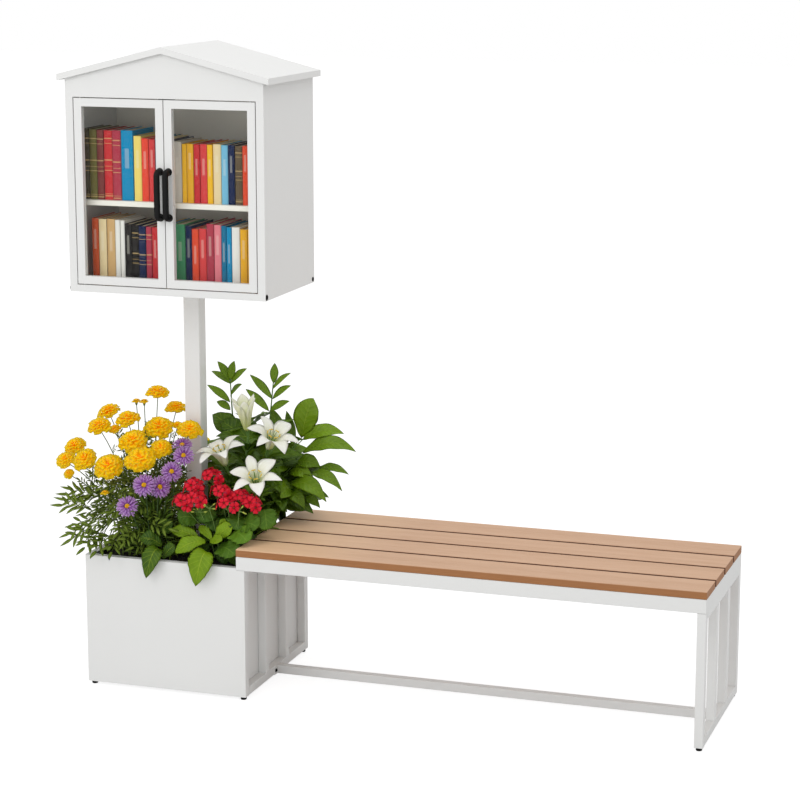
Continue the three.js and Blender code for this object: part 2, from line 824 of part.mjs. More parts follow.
function stem(from, to, radius, lift) {
  const middle = from.clone().lerp(to, 1 / 2);
  middle.z += lift;
  const section = new THREE.Shape();
  for (let side = 0; side < stemSides; side += 1) {
    const angle = (side * Math.PI * 2) / stemSides;
    const point = [radius * Math.cos(angle), radius * Math.sin(angle)];
    if (side === 0) {
      section.moveTo(...point);
    } else {
      section.lineTo(...point);
    }
  }
  return toSolid(new THREE.ExtrudeGeometry(section, {
    extrudePath: new THREE.QuadraticBezierCurve3(from, middle, to),
    steps: stemSteps,
    bevelEnabled: false,
  }));
}

// A leaf or petal is a thin folded blade along an arched midrib. Each of its stations is a share
// of the length and a share of the width.

const broadShares = [[0.15, 0.5], [0.45, 1], [0.78, 0.65]];
const lanceShares = [[0.3, 0.9], [0.7, 0.75]];
const petalShares = [[0.1, 0.45], [0.45, 1], [0.78, 0.75]];
const foldShare = 0.12;

function blade(base, tip, lift, width, thickness, stationShares) {
  const middle = base.clone().lerp(tip, 1 / 2);
  middle.z += lift;
  const midrib = new THREE.QuadraticBezierCurve3(base, middle, tip);
  const heading = new THREE.Vector3(tip.x - base.x, tip.y - base.y, 0);
  const flat = heading.lengthSq() > 0 ? heading.normalize() : unitX.clone();
  const across = new THREE.Vector3(-flat.y, flat.x, 0);
  const points = [base.clone()];
  stationShares.forEach(([alongShare, widthShare]) => {
    const centre = midrib.getPoint(alongShare);
    const up = midrib.getTangent(alongShare).cross(across);
    const half = (width * widthShare) / 2;
    const edge = centre.clone().addScaledVector(up, width * foldShare * widthShare);
    points.push(
      edge.clone().addScaledVector(across, half),
      centre.clone().addScaledVector(up, thickness / 2),
      edge.clone().addScaledVector(across, -half),
      centre.clone().addScaledVector(up, -thickness / 2),
    );
  });
  points.push(tip.clone());
  const last = points.length - 1;
  const triangles = [];
  for (let corner = 0; corner < 4; corner += 1) {
    const next = (corner + 1) % 4;
    triangles.push(0, 1 + next, 1 + corner);
    for (let ring = 1; ring + 4 < last; ring += 4) {
      triangles.push(ring + corner, ring + next, ring + 4 + corner);
      triangles.push(ring + next, ring + 4 + next, ring + 4 + corner);
    }
    triangles.push(last, last - 4 + corner, last - 4 + next);
  }
  const geometry = new THREE.BufferGeometry();
  const coordinates = points.flatMap((point) => point.toArray());
  geometry.setAttribute('position', new THREE.Float32BufferAttribute(coordinates, 3));
  geometry.setIndex(triangles);
  return geometry;
}

function leaf(base, tip, lift, width, swell, stationShares) {
  const along = tip.clone().sub(base).setLength(swell);
  const geometry = blade(
    base.clone().sub(along),
    tip.clone().add(along),
    lift,
    width + swell * 2,
    leafThickness + swell * 2,
    stationShares,
  );
  return toSolid(geometry);
}

function leaves(placeShares, lift, width, swell, stationShares) {
  return placeShares.map(([base, tip, liftShare = 0]) => (
    leaf(placed(base), placed(tip), lift + bloomHeight * liftShare, width, swell, stationShares)
  ));
}

// The leafy middle of a plant, from which its stems and outer leaves grow

function leafyCore(centreShares, [widthShare, depthShare, heightShare], swell) {
  const geometry = new THREE.IcosahedronGeometry(1, 1);
  const half = [planterWidth * widthShare, totalDepth * depthShare, bloomHeight * heightShare];
  geometry.scale(...half.map((value) => value + swell));
  geometry.translate(...placed(centreShares).toArray());
  return toSolid(geometry);
}

// A flower head is a turned profile of radius and height shares, lobed around its edge

function turnedHead(radius, profileShares, lobes, lobeShare) {
  const profile = profileShares.map(([outShare, upShare]) => (
    new THREE.Vector2(radius * outShare, radius * upShare)
  ));
  const geometry = new THREE.LatheGeometry(profile, lobes * 2);
  geometry.rotateX(Math.PI / 2);
  const { position } = geometry.attributes;
  for (let index = 0; index < position.count; index += 1) {
    const x = position.getX(index);
    const y = position.getY(index);
    const swellShare = 1 + lobeShare * Math.cos(lobes * Math.atan2(y, x));
    position.setX(index, x * swellShare);
    position.setY(index, y * swellShare);
  }
  return geometry;
}

function headAt(centre, geometry) {
  geometry.translate(...centre.toArray());
  return toSolid(geometry);
}

const pompomShares = [[0, -0.42], [0.6, -0.4], [1, 0], [0.75, 0.48], [0, 0.62]];
const discShares = [[0, -0.2], [1, 0], [0.4, 0.12], [0, 0.2]];
const clusterShares = [[0, -0.45], [0.7, -0.3], [1, 0.1], [0.6, 0.5], [0, 0.6]];

// Leaves spread round a point by the golden angle and reach out to an ellipsoid

const goldenAngle = Math.PI * (3 - Math.sqrt(5));

function spreadLeaves(count, centreShares, reachShares, width, swell) {
  const centre = placed(centreShares);
  const reach = new THREE.Vector3(...reachShares);
  reach.multiply(new THREE.Vector3(planterWidth, totalDepth, bloomHeight));
  return Array.from({ length: count }, (unused, index) => {
    const upShare = (index + 1 / 2) / count;
    const angle = index * goldenAngle;
    const flatShare = Math.sqrt(1 - upShare ** 2);
    const way = new THREE.Vector3(flatShare * Math.cos(angle), flatShare * Math.sin(angle), upShare);
    const tip = centre.clone().add(way.multiply(reach));
    const base = centre.clone().lerp(tip, 1 / 2);
    return leaf(base, tip, width / 2, width, swell, lanceShares);
  });
}

// Each plant has a root, a leafy core and leaves spread round it, and its flowers stand on stems

const marigoldRootShares = [0.2, 0.5, 0.04];
const marigoldCoreShares = [0.24, 0.42, 0.46];
const marigoldSpreadShares = [0.36, 0.54, 0.68];
const marigoldSpreadCount = 13;
const marigoldLobes = 5;
const marigoldLobeShare = 0.06;
const budLobes = 3;
const marigoldHeadShares = [
  [0.23, 0.55, 0.91], [0.3, 0.65, 0.81], [-0.05, 0.47, 0.79], [-0.04, 0.31, 0.73], [0.11, 0.39, 0.77],
  [0.31, 0.39, 0.73], [0.52, 0.35, 0.74], [0.21, 0.24, 0.67], [0.39, 0.24, 0.64], [-0.2, 0.31, 0.58],
  [-0.21, 0.2, 0.54], [-0.07, 0.18, 0.55], [0.11, 0.12, 0.53], [0.31, 0.12, 0.59], [0.1, 0.78, 0.62],
  [0.34, 0.86, 0.55],
];
const marigoldBudShares = [[0.11, 0.51, 0.86], [0.18, 0.47, 0.87], [0.11, 0.06, 0.38]];
const marigoldSprayShares = [
  [[0.06, 0.2, 0.24], [-0.21, 0.12, 0.27]], [[0.08, 0.2, 0.2], [-0.13, 0.06, 0.07]],
  [[0.1, 0.2, 0.16], [0, 0.02, 0.04]], [[0.14, 0.2, 0.14], [0.1, 0, 0.02]],
  [[0.16, 0.2, 0.16], [0.18, -0.02, 0.03]], [[0.06, 0.3, 0.28], [-0.21, 0.2, 0.32]],
  [[0.06, 0.5, 0.22], [-0.17, 0.55, 0.2]], [[0.06, 0.7, 0.2], [-0.12, 0.8, 0.12]],
  [[0.15, 0.8, 0.2], [0.12, 1.03, 0.14]], [[0.25, 0.8, 0.2], [0.35, 1.02, 0.2]],
];

function stems(root, tops, radius) {
  return tops.map((top) => stem(root, top, radius, sprayLift));
}

const marigolds = {
  blooms(swell) {
    const heads = marigoldHeadShares.map(placed);
    const buds = marigoldBudShares.map(placed);
    const pompom = () => turnedHead(marigoldRadius + swell, pompomShares, marigoldLobes, marigoldLobeShare);
    const bud = () => turnedHead(budRadius + swell, clusterShares, budLobes, 0);
    return [
      ...heads.map((centre) => headAt(centre, pompom())),
      ...buds.map((centre) => headAt(centre, bud())),
      ...stems(placed(marigoldRootShares), [...heads, ...buds], stemRadius + swell),
    ];
  },
  foliage(swell) {
    return [
      leafyCore(marigoldRootShares, marigoldCoreShares, swell),
      ...leaves(marigoldSprayShares, sprayLift, sprayWidth, swell, lanceShares),
      ...spreadLeaves(marigoldSpreadCount, marigoldRootShares, marigoldSpreadShares, sprayWidth, swell),
    ];
  },
};

const asterRootShares = [0.36, 0.14, 0.02];
const asterCoreShares = [0.18, 0.12, 0.34];
const asterSpreadShares = [0.24, 0.2, 0.5];
const asterSpreadCount = 7;
const asterTilt = Math.PI / 3;
const asterLobes = 7;
const asterLobeShare = 0.08;
const asterHeadShares = [
  [0.51, 0.27, 0.66], [0.54, 0.22, 0.61], [0.49, 0.16, 0.52], [0.36, 0.06, 0.45], [0.43, 0.12, 0.43],
  [0.27, 0.02, 0.32],
];

const asters = {
  blooms(swell) {
    const heads = asterHeadShares.map(placed);
    const disc = () => turnedHead(asterRadius + swell, discShares, asterLobes, asterLobeShare);
    return [
      ...heads.map((centre) => headAt(centre, disc().rotateX(asterTilt))),
      ...stems(placed(asterRootShares), heads, stemRadius + swell),
    ];
  },
  foliage(swell) {
    return [
      leafyCore(asterRootShares, asterCoreShares, swell),
      ...spreadLeaves(asterSpreadCount, asterRootShares, asterSpreadShares, narrowLeafWidth, swell),
    ];
  },
};

const geraniumRootShares = [0.78, 0.2, 0.04];
const geraniumCoreShares = [0.19, 0.14, 0.32];
const geraniumLobes = 5;
const geraniumLobeShare = 0.1;
const geraniumHeadShares = [
  [0.71, 0.24, 0.48], [0.6, 0.16, 0.42], [0.59, 0.1, 0.35], [0.8, 0.16, 0.41], [0.87, 0.12, 0.37],
  [0.91, 0.18, 0.39], [0.98, 0.18, 0.35],
];
const geraniumLeafShares = [
  [[0.86, 0.14, 0.18], [1.03, 0.12, 0.2]], [[0.92, 0.14, 0.17], [1, 0.06, 0.15]],
  [[0.92, 0.18, 0.22], [1.12, 0.2, 0.28]], [[0.68, 0.16, 0.2], [0.52, 0.12, 0.24]],
  [[0.84, 0.1, 0.1], [0.94, 0.02, 0.07]], [[0.8, 0.22, 0.24], [0.84, 0.08, 0.26]],
];

const geraniums = {
  blooms(swell) {
    const heads = geraniumHeadShares.map(placed);
    const radius = geraniumRadius + swell;
    const cluster = () => turnedHead(radius, clusterShares, geraniumLobes, geraniumLobeShare);
    return [
      ...heads.map((centre) => headAt(centre, cluster())),
      ...stems(placed(geraniumRootShares), heads, stemRadius + swell),
    ];
  },
  foliage(swell) {
    return [
      leafyCore(geraniumRootShares, geraniumCoreShares, swell),
      ...leaves(geraniumLeafShares, budRadius, geraniumLeafWidth, swell, broadShares),
    ];
  },
};

// A lily is a throat and six petals that arch out and back, and it faces along its own direction

const lilyRootShares = [0.8, 0.42, 0.05];
const lilyCoreShares = [0.15, 0.14, 0.42];
const lilySpreadShares = [0.24, 0.2, 0.62];
const lilySpreadCount = 9;
const petalCount = 6;
const petalReachShare = 0.85;
const petalDroopShare = 0.45;
const lilyFlowers = [
  { placeShares: [0.7, 0.36, 0.62], facingShares: [-0.35, -0.6, 0.75], openShare: 1 },
  { placeShares: [1, 0.47, 0.7], facingShares: [0.35, -0.35, 0.85], openShare: 1 },
  { placeShares: [0.98, 0.25, 0.49], facingShares: [0.2, -0.85, 0.45], openShare: 1 },
  { placeShares: [0.79, 0.51, 0.72], facingShares: [0.05, -0.1, 1], openShare: 0.3 },
];

function lilyFlower({ placeShares, facingShares, openShare }, swell) {
  const reach = lilyPetalLength * openShare * petalReachShare;
  const rise = lilyPetalLength * (1 - openShare * petalDroopShare);
  const petals = Array.from({ length: petalCount }, (unused, index) => {
    const way = unitX.clone().applyAxisAngle(unitZ, (index * Math.PI * 2) / petalCount);
    const base = way.clone().multiplyScalar(lilyThroatRadius / 2);
    const tip = way.clone().multiplyScalar(reach);
    tip.z += rise;
    return blade(base, tip, rise / 2, lilyPetalWidth + swell * 2, leafThickness + swell * 2, petalShares);
  });
  const throat = new THREE.ConeGeometry(lilyThroatRadius + swell, lilyThroatLength, petalCount);
  throat.rotateX(-Math.PI / 2);
  const facing = new THREE.Vector3(...facingShares).normalize();
  const turn = new THREE.Quaternion().setFromUnitVectors(unitZ, facing);
  const pose = new THREE.Matrix4().compose(placed(placeShares), turn, new THREE.Vector3(1, 1, 1));
  return [...petals, throat].map((geometry) => toSolid(geometry.applyMatrix4(pose)));
}

const lilies = {
  blooms(swell) {
    const tops = lilyFlowers.map(({ placeShares }) => placed(placeShares));
    return [
      ...lilyFlowers.flatMap((flower) => lilyFlower(flower, swell)),
      ...stems(placed(lilyRootShares), tops, lilyStemRadius + swell),
    ];
  },
  foliage(swell) {
    return [
      leafyCore(lilyRootShares, lilyCoreShares, swell),
      ...spreadLeaves(lilySpreadCount, lilyRootShares, lilySpreadShares, narrowLeafWidth, swell),
    ];
  },
};

const shrubRootShares = [0.76, 0.78, 0.1];
const shrubCoreShares = [0.24, 0.2, 0.58];
const shrubSpreadShares = [0.42, 0.28, 0.7];
const shrubSpreadCount = 13;
const shrubLeafShares = [
  [[1.0, 0.84, 0.5], [1.11, 0.84, 0.88], 0.1], [[0.92, 0.82, 0.52], [1.31, 0.82, 0.67], 0.1],
  [[0.9, 0.82, 0.46], [1.4, 0.78, 0.56], 0.2], [[0.9, 0.78, 0.36], [1.37, 0.75, 0.42], 0.12],
  [[0.9, 0.75, 0.36], [1.35, 0.69, 0.33], 0.2], [[0.9, 0.71, 0.28], [1.27, 0.65, 0.27], 0.16],
  [[0.92, 0.68, 0.24], [1.13, 0.63, 0.2], 0.12], [[0.92, 0.7, 0.22], [1.21, 0.7, 0.22], 0.12],
  [[0.66, 0.72, 0.62], [0.49, 0.76, 0.75], 0.06], [[0.71, 0.72, 0.6], [0.56, 0.71, 0.72], 0.06],
  [[0.92, 0.78, 0.6], [0.85, 0.82, 0.8], 0.03], [[0.98, 0.84, 0.56], [0.92, 0.88, 0.78], 0.03],
  [[0.8, 0.9, 0.4], [1.0, 1.04, 0.5], 0.1], [[0.7, 0.9, 0.4], [0.66, 1.06, 0.46], 0.1],
];
const shootFootShares = [[0.64, 0.78, 0.2], [0.8, 0.78, 0.2]];
const shootTopShares = [[0.6, 0.78, 1], [0.88, 0.78, 1]];
const shootLeafShares = [
  [[0.6, 0.78, 0.97], [0.63, 0.78, 1.1]], [[0.6, 0.78, 0.97], [0.52, 0.78, 1.09]],
  [[0.6, 0.78, 0.95], [0.72, 0.76, 1.06]], [[0.6, 0.78, 0.95], [0.47, 0.8, 1.02]],
  [[0.6, 0.78, 0.83], [0.44, 0.8, 0.93]], [[0.6, 0.78, 0.78], [0.51, 0.78, 0.83]],
  [[0.6, 0.78, 0.87], [0.69, 0.75, 0.96]], [[0.88, 0.78, 0.97], [0.885, 0.79, 1.1]],
  [[0.87, 0.78, 0.87], [0.71, 0.82, 1.01]], [[0.87, 0.78, 0.93], [1.0, 0.76, 1.05]],
  [[0.87, 0.78, 0.87], [1.0, 0.76, 0.97]], [[0.85, 0.78, 0.79], [0.69, 0.8, 0.92]],
  [[0.85, 0.78, 0.79], [0.99, 0.76, 0.87]],
];

const shrub = {
  blooms(swell) {
    const shoots = shootTopShares.map((topShares, index) => (
      stem(placed(shootFootShares[index]), placed(topShares), stemRadius + swell, 0)
    ));
    return [
      ...shoots,
      ...leaves(shootLeafShares, shootLeafLift, shootLeafWidth, swell, lanceShares),
      ...leaves(shrubLeafShares, 0, shrubLeafWidth, swell, broadShares),
    ];
  },
  foliage(swell) {
    return [
      leafyCore(shrubRootShares, shrubCoreShares, swell),
      ...spreadLeaves(shrubSpreadCount, shrubRootShares, shrubSpreadShares, shrubLeafWidth, swell),
    ];
  },
};

const rosetteRootShares = [0.7, 0.08, 0];
const rosetteCoreShares = [0.17, 0.045, 0.09];
const rosetteLeafShares = [
  [[0.75, 0.1, 0.08], [0.49, 0.1, 0.15], 0.06], [[0.73, 0.09, 0.07], [0.55, 0.03, 0.05], 0.06],
  [[0.76, 0.11, 0.09], [0.66, 0.15, 0.2], 0.02], [[0.76, 0.11, 0.09], [0.88, 0.12, 0.18], 0.04],
  [[0.76, 0.11, 0.09], [0.79, 0.14, 0.24], 0.02], [[0.75, 0.09, 0.08], [0.84, 0.04, 0.09], 0.03],
  [[0.76, 0.06, 0.05], [0.72, -0.05, -0.12], 0.2], [[0.58, 0.08, 0.03], [0.41, -0.05, -0.1], 0.2],
  [[0.58, 0.08, 0.04], [0.34, 0.03, 0.13], 0.05], [[0.62, 0.07, 0.04], [0.52, 0, 0.03], 0.05],
];

const rosette = {
  blooms(swell) {
    return [
      leafyCore(rosetteRootShares, rosetteCoreShares, swell),
      ...leaves(rosetteLeafShares, 0, rosetteLeafWidth, swell, broadShares),
    ];
  },
  foliage() {
    return [];
  },
};

// Nothing that grows may reach into the planter's walls, the post, the bench or the soil

function fixedPieces() {
  const inner = rimWidth + seam;
  const outer = -seam;
  const above = rimHeight + overrun;
  const walls = block([outer, outer, 0], [planterWidth + seam, totalDepth + seam, rimHeight + seam]);
  const bed = block([inner, inner, -overrun], [endPanelLeft - seam, totalDepth - inner, above]);
  const bench = block([frameStart - seam, outer, 0], [totalLength, totalDepth + seam, seatHeight + seam]);
  return joined([walls.subtract(bed), bench, postRoom, soilBlock(seam)]);
}

const planting = [
  ['marigolds', marigolds, marigoldGreen],
  ['asters', asters, asterPurple],
  ['geraniums', geraniums, geraniumRed],
  ['lilies', lilies, lilyWhite],
  ['shrub', shrub, shrubGreen],
  ['rosette', rosette, rosetteGreen],
];

// Flowers and named leaves come before anyone's foliage, and earlier plants before later ones

const without = (solid, rooms) => rooms.reduce((rest, room) => rest.subtract(room), solid);
const bloomRooms = planting.map(([, plant]) => joined(plant.blooms(seam)));
const solidGround = fixedPieces();
const foliageRooms = [];
const plants = [];

planting.forEach(([name, plant, material], index) => {
  const earlierBlooms = bloomRooms.slice(0, index);
  const otherBlooms = bloomRooms.filter((room) => room !== bloomRooms[index]);
  const grown = plant.foliage(0);
  let body = without(joined(plant.blooms(0)), earlierBlooms);
  if (grown.length > 0) {
    body = body.add(without(joined(grown), [...otherBlooms, ...foliageRooms]));
    foliageRooms.push(joined(plant.foliage(seam)));
  }
  plants.push(largestBody(without(body, [solidGround, ...plants])));
  addPiece(name, plants[index], material);
});

// The model's own zero is the middle of its footprint, on the ground

const footprint = new THREE.Box3().setFromObject(model);
const middle = footprint.getCenter(new THREE.Vector3());
model.position.set(-middle.x, -middle.y, 0);

export default model;
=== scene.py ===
"""Dresses the packed bench with planter and book cabinet: finishes, books and planting."""

import math
import random

import bmesh
import bpy
import numpy as np
from bpy.props import FloatProperty, FloatVectorProperty, IntProperty, PointerProperty
from mathutils import Euler, Matrix, Quaternion, Vector


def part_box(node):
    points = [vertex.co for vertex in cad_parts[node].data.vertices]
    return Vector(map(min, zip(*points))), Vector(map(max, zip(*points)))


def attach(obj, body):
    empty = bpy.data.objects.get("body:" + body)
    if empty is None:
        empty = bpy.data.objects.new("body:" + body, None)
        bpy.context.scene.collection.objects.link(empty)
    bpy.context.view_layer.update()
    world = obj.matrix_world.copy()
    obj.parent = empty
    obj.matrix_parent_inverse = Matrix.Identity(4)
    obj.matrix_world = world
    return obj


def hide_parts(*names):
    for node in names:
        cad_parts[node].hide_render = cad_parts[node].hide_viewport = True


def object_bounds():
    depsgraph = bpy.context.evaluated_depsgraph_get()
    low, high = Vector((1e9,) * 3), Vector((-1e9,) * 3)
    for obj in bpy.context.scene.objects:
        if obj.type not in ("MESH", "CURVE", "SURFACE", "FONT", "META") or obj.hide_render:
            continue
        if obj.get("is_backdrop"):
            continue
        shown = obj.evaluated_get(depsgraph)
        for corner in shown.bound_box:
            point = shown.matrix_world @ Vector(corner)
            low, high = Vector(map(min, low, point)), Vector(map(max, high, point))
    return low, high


bl_info = {
    "name": "Bench with planter and book cabinet",
    "version": (1, 0, 0),
    "blender": (4, 5, 0),
    "location": "3D View > Sidebar > Bench",
    "description": "Gives the bench its finishes, its books and its planting",
    "category": "Object",
}

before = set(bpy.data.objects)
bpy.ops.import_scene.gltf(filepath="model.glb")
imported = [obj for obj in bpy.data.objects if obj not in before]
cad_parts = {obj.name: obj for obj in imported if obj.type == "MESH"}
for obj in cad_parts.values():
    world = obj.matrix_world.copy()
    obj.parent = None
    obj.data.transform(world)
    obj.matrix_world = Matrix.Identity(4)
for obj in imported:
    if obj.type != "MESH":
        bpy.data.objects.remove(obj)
cad_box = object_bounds()

# The planter's front left corner on the ground is the point that every place below is measured from
planter_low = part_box("planter_shell")[0]
corner = Vector((planter_low.x, planter_low.y, 0.0))


# sizes and colours


def length(title, description, default):
    return FloatProperty(name=title, description=description, default=default, unit="LENGTH", min=0.0)


def colour(title, description, default):
    return FloatVectorProperty(
        name=title, description=description, default=default, subtype="COLOR", size=3, min=0.0, max=1.0
    )


def count(title, description, default):
    return IntProperty(name=title, description=description, default=default, min=1)


class StageSettings(bpy.types.PropertyGroup):
    """The camera, the lights and the floor."""

    focal_length: FloatProperty(
        name="Focal length", description="Lens of the camera on a 36 mm sensor", default=105.51, unit="CAMERA"
    )
    camera_place: FloatVectorProperty(
        name="Camera place",
        description="Where the camera stands, from the planter's front left corner",
        default=(3.004, -6.0259, 2.2295),
        subtype="TRANSLATION",
        unit="LENGTH",
    )
    camera_turn: FloatVectorProperty(
        name="Camera turn",
        description="How the camera is turned",
        default=(math.pi / 2 - 0.2023, 0.0, 0.3243),
        subtype="EULER",
        unit="ROTATION",
    )
    key_strength: FloatProperty(
        name="Main light", description="Power of the large front light in watts", default=37.0
    )
    fill_strength: FloatProperty(
        name="Fill light", description="Strength of the light from all round", default=0.78
    )


class SteelSettings(bpy.types.PropertyGroup):
    """The powder-coated sheet and tube, and the small black parts."""

    coat_colour: colour("Coating", "Colour of the powder coating", (0.82, 0.822, 0.81))
    # The inner coating is painted light: a lighter, warmer copy of the white coating that brightens the
    # cabinet's inside
    inner_painted_light_colour: colour("Inner coating", "Colour of the cabinet's back panel and shelf", (0.95, 0.915, 0.83))
    black_colour: colour("Black parts", "Colour of the feet, screws and handles", (0.006, 0.006, 0.006))
    grain_size: length("Coating grain", "Size of the coating's fine texture", 0.0011)
    grip_radius: length("Grip radius", "Half the thickness of a bow handle", 0.009)
    grip_bend: length("Grip bend", "Radius of the bends at a handle's ends", 0.012)
    grip_foot: length("Grip foot", "Radius of the round foot of a handle", 0.011)
    foot_radius: length("Glide radius", "Radius of the feet", 0.009)
    foot_height: length("Glide height", "Height of the feet under the frame", 0.01)
    bolt_radius: length("Screw radius", "Radius of the stretcher's screw heads", 0.0055)
    bolt_height: length("Screw height", "Height of the stretcher's screw heads", 0.004)
    cap_radius: length("Cap radius", "Radius of the black caps at the cabinet's lower corners", 0.0085)
    cap_height: length("Cap height", "Height of the black caps at the cabinet's lower corners", 0.0025)


class SlatSettings(bpy.types.PropertyGroup):
    """The wood-look seat slats."""

    top_colour: colour("Slat", "Main colour of a slat", (0.66, 0.42, 0.27))
    grain_colour: colour("Grain", "Darker colour of the slats' grain", (0.54, 0.31, 0.18))
    # The side colour is partly the board's own darker, smoother side and partly painted shade, darker than
    # the lit top
    edge_colour_and_shade: colour("Slat edge", "Colour of the slats' sawn sides", (0.33, 0.135, 0.042))
    # The gap colour is painted shade on the slats' long sides that face a gap
    painted_gap_shade: colour("Slat gap", "Colour of the slats' sides in the gaps between them", (0.105, 0.03, 0.01))
    # The slat end colour is a painted sheen: the slats' tops are lighter and warmer towards their left end,
    # over the given length
    painted_sheen_colour: colour("Slat end", "Warmer colour of the slats beside the plants", (1.0, 0.69, 0.41))
    painted_sheen_length: length("Warm length", "How far the warmer colour reaches along a slat", 0.42)
    grain_width: length("Grain width", "Distance between the slats' grain lines", 0.0016)
    side_start: length("Side start", "How far below a slat's top its side has the side's colour", 0.0024)
    side_end: length("Side end", "How far below a slat's top its side still has the top's colour", 0.0008)
    outer_skin: length("Outer skin", "How deep the seat's two outer sides are, which face no gap", 0.003)


class BookSettings(bpy.types.PropertyGroup):
    """The books on the two shelves."""

    board_thickness: length("Board", "Thickness of a book's cover boards", 0.0016)
    board_overhang: length("Overhang", "How far the boards stand past the pages", 0.0024)
    spine_bulge: length("Spine bulge", "How far a spine is rounded", 0.0035)
    gilt_colour: colour("Gilt", "Colour of the lines on leather spines", (0.72, 0.50, 0.20))
    seed: count("Seed", "Start of the small differences between the books", 11)


class PlantingSettings(bpy.types.PropertyGroup):
    """The flowers and leaves in the planter."""

    planter_width: length("Planter width", "Width that the plants' places are shares of", 0.505)
    planter_depth: length("Planter depth", "Depth that the plants' places are shares of", 0.51)
    rim_height: length("Rim height", "Height of the planter's rim above the ground", 0.398)
    rim_width: length("Rim width", "Width of the folded rim", 0.02)
    bloom_height: length("Bloom height", "Height that the plants' heights are shares of", 0.48)
    marigold_radius: length("Marigold", "Radius of a marigold", 0.038)
    aster_radius: length("Aster", "Radius of an aster", 0.037)
    cluster_radius: length("Geranium cluster", "Radius of a geranium's cluster", 0.031)
    floret_radius: length("Geranium floret", "Radius of one of its florets", 0.0172)
    lily_petal_length: length("Lily petal length", "Length of a lily's petals", 0.092)
    lily_petal_width: length("Lily petal width", "Width of a lily's petals", 0.046)
    lily_throat: length("Lily throat", "Radius of a lily's throat", 0.008)
    geranium_leaf_width: length("Geranium leaf", "Width of a geranium's leaves", 0.062)
    shrub_leaf_width: length("Shrub leaf", "Width of the shrub's leaves", 0.062)
    shoot_leaf_width: length("Shoot leaf", "Width of the leaves on the tall shoots", 0.026)
    rosette_leaf_width: length("Rosette leaf", "Width of the rosette's leaves", 0.072)
    marigold_colour: colour("Marigold colour", "Main colour of the marigolds", (1.0, 0.46, 0.002))
    aster_colour: colour("Aster colour", "Main colour of the asters", (0.41, 0.13, 0.57))
    geranium_colour: colour("Geranium colour", "Main colour of the geraniums", (0.80, 0.006, 0.028))
    shrub_colour: colour("Shrub colour", "Lighter green of the shrub", (0.19, 0.33, 0.008))
    rosette_colour: colour("Rosette colour", "Light green of the rosette", (0.205, 0.345, 0.003))
    marigold_petals: count("Marigold petals", "Petals in a marigold", 34)
    aster_rays: count("Aster rays", "Rays round an aster", 62)
    cluster_florets: count("Florets", "Florets in a geranium's cluster", 6)
    marigold_sprays: count("Marigold leaves", "Feathery leaves round the marigolds", 170)
    aster_leaves: count("Aster leaves", "Narrow leaves round the asters", 110)
    geranium_leaves: count("Geranium leaves", "Round leaves under the geraniums", 34)
    lily_leaves: count("Lily leaves", "Narrow leaves on each lily's stem", 26)
    shrub_leaves: count("Shrub leaves", "Broad leaves round the shrub", 58)
    seed: count("Seed", "Start of the small differences between the plants", 21)


# shader and geometry nodes

# How far apart the nodes of a tree stand in the editor
node_step = 180


class Wiring:
    """Adds nodes to a tree and joins them by socket name."""

    def __init__(self, tree):
        self.tree = tree

    def node(self, kind, inputs=None, **settings):
        node = self.tree.nodes.new(kind)
        node.location = (len(self.tree.nodes) * node_step, 0)
        for name, value in settings.items():
            setattr(node, name, value)
        for key, value in (inputs or {}).items():
            if isinstance(value, bpy.types.NodeSocket):
                self.tree.links.new(value, node.inputs[key])
            else:
                node.inputs[key].default_value = value
        return node

    def add(self, kind, inputs=None, **settings):
        """Adds a node and returns its outputs."""
        return self.node(kind, inputs, **settings).outputs

    def math(self, operation, *values):
        return self.add("ShaderNodeMath", dict(enumerate(values)), operation=operation)[0]

    def times(self, first, *others):
        for other in others:
            first = self.math("MULTIPLY", first, other)
        return first

    def plus(self, *values):
        return self.math("ADD", *values)

    def minus(self, *values):
        return self.math("SUBTRACT", *values)

    def mix(self, factor, first, second):
        inputs = {0: factor, 6: opaque(first), 7: opaque(second)}
        return self.add("ShaderNodeMix", inputs, data_type="RGBA")[2]

    def blend(self, share, first, second):
        """Mixes two shaders."""
        return self.add("ShaderNodeMixShader", {0: share, 1: first, 2: second})[0]

    def spread(self, value, low, high, start=0.0, end=1.0):
        return self.add("ShaderNodeMapRange", {0: value, 1: start, 2: end, 3: low, 4: high})[0]

    def stops(self, factor, *stops):
        node = self.node("ShaderNodeValToRGB", {0: factor})
        elements = node.color_ramp.elements
        while len(elements) < len(stops):
            elements.new(0.5)
        for element, (place, shade) in zip(elements, stops):
            element.position = place
            element.color = opaque(shade)
        return node.outputs[0]

    def noise(self, coordinates, scale, detail=2.0, roughness=0.5, distortion=0.0):
        inputs = {"Vector": coordinates, "Scale": scale, "Detail": detail}
        inputs.update({"Roughness": roughness, "Distortion": distortion})
        return self.add("ShaderNodeTexNoise", inputs)[0]

    def axes(self, vector):
        return self.add("ShaderNodeSeparateXYZ", {"Vector": vector})

    def vector(self, x, y, z):
        return self.add("ShaderNodeCombineXYZ", {"X": x, "Y": y, "Z": z})[0]

    def stretched(self, place, scale):
        return self.add("ShaderNodeMapping", {"Vector": place, "Scale": scale})[0]

    def place(self, kind="Object"):
        return self.add("ShaderNodeTexCoord")[kind]

    def attribute(self, name, output="Fac"):
        return self.add("ShaderNodeAttribute", attribute_name=name)[output]

    def group(self, tree, inputs):
        return self.add("ShaderNodeGroup", inputs, node_tree=tree)

    def rays(self, first, second):
        """One where either kind of ray looks, else nil."""
        path = self.add("ShaderNodeLightPath")
        return self.math("MAXIMUM", path[f"Is {first} Ray"], path[f"Is {second} Ray"])


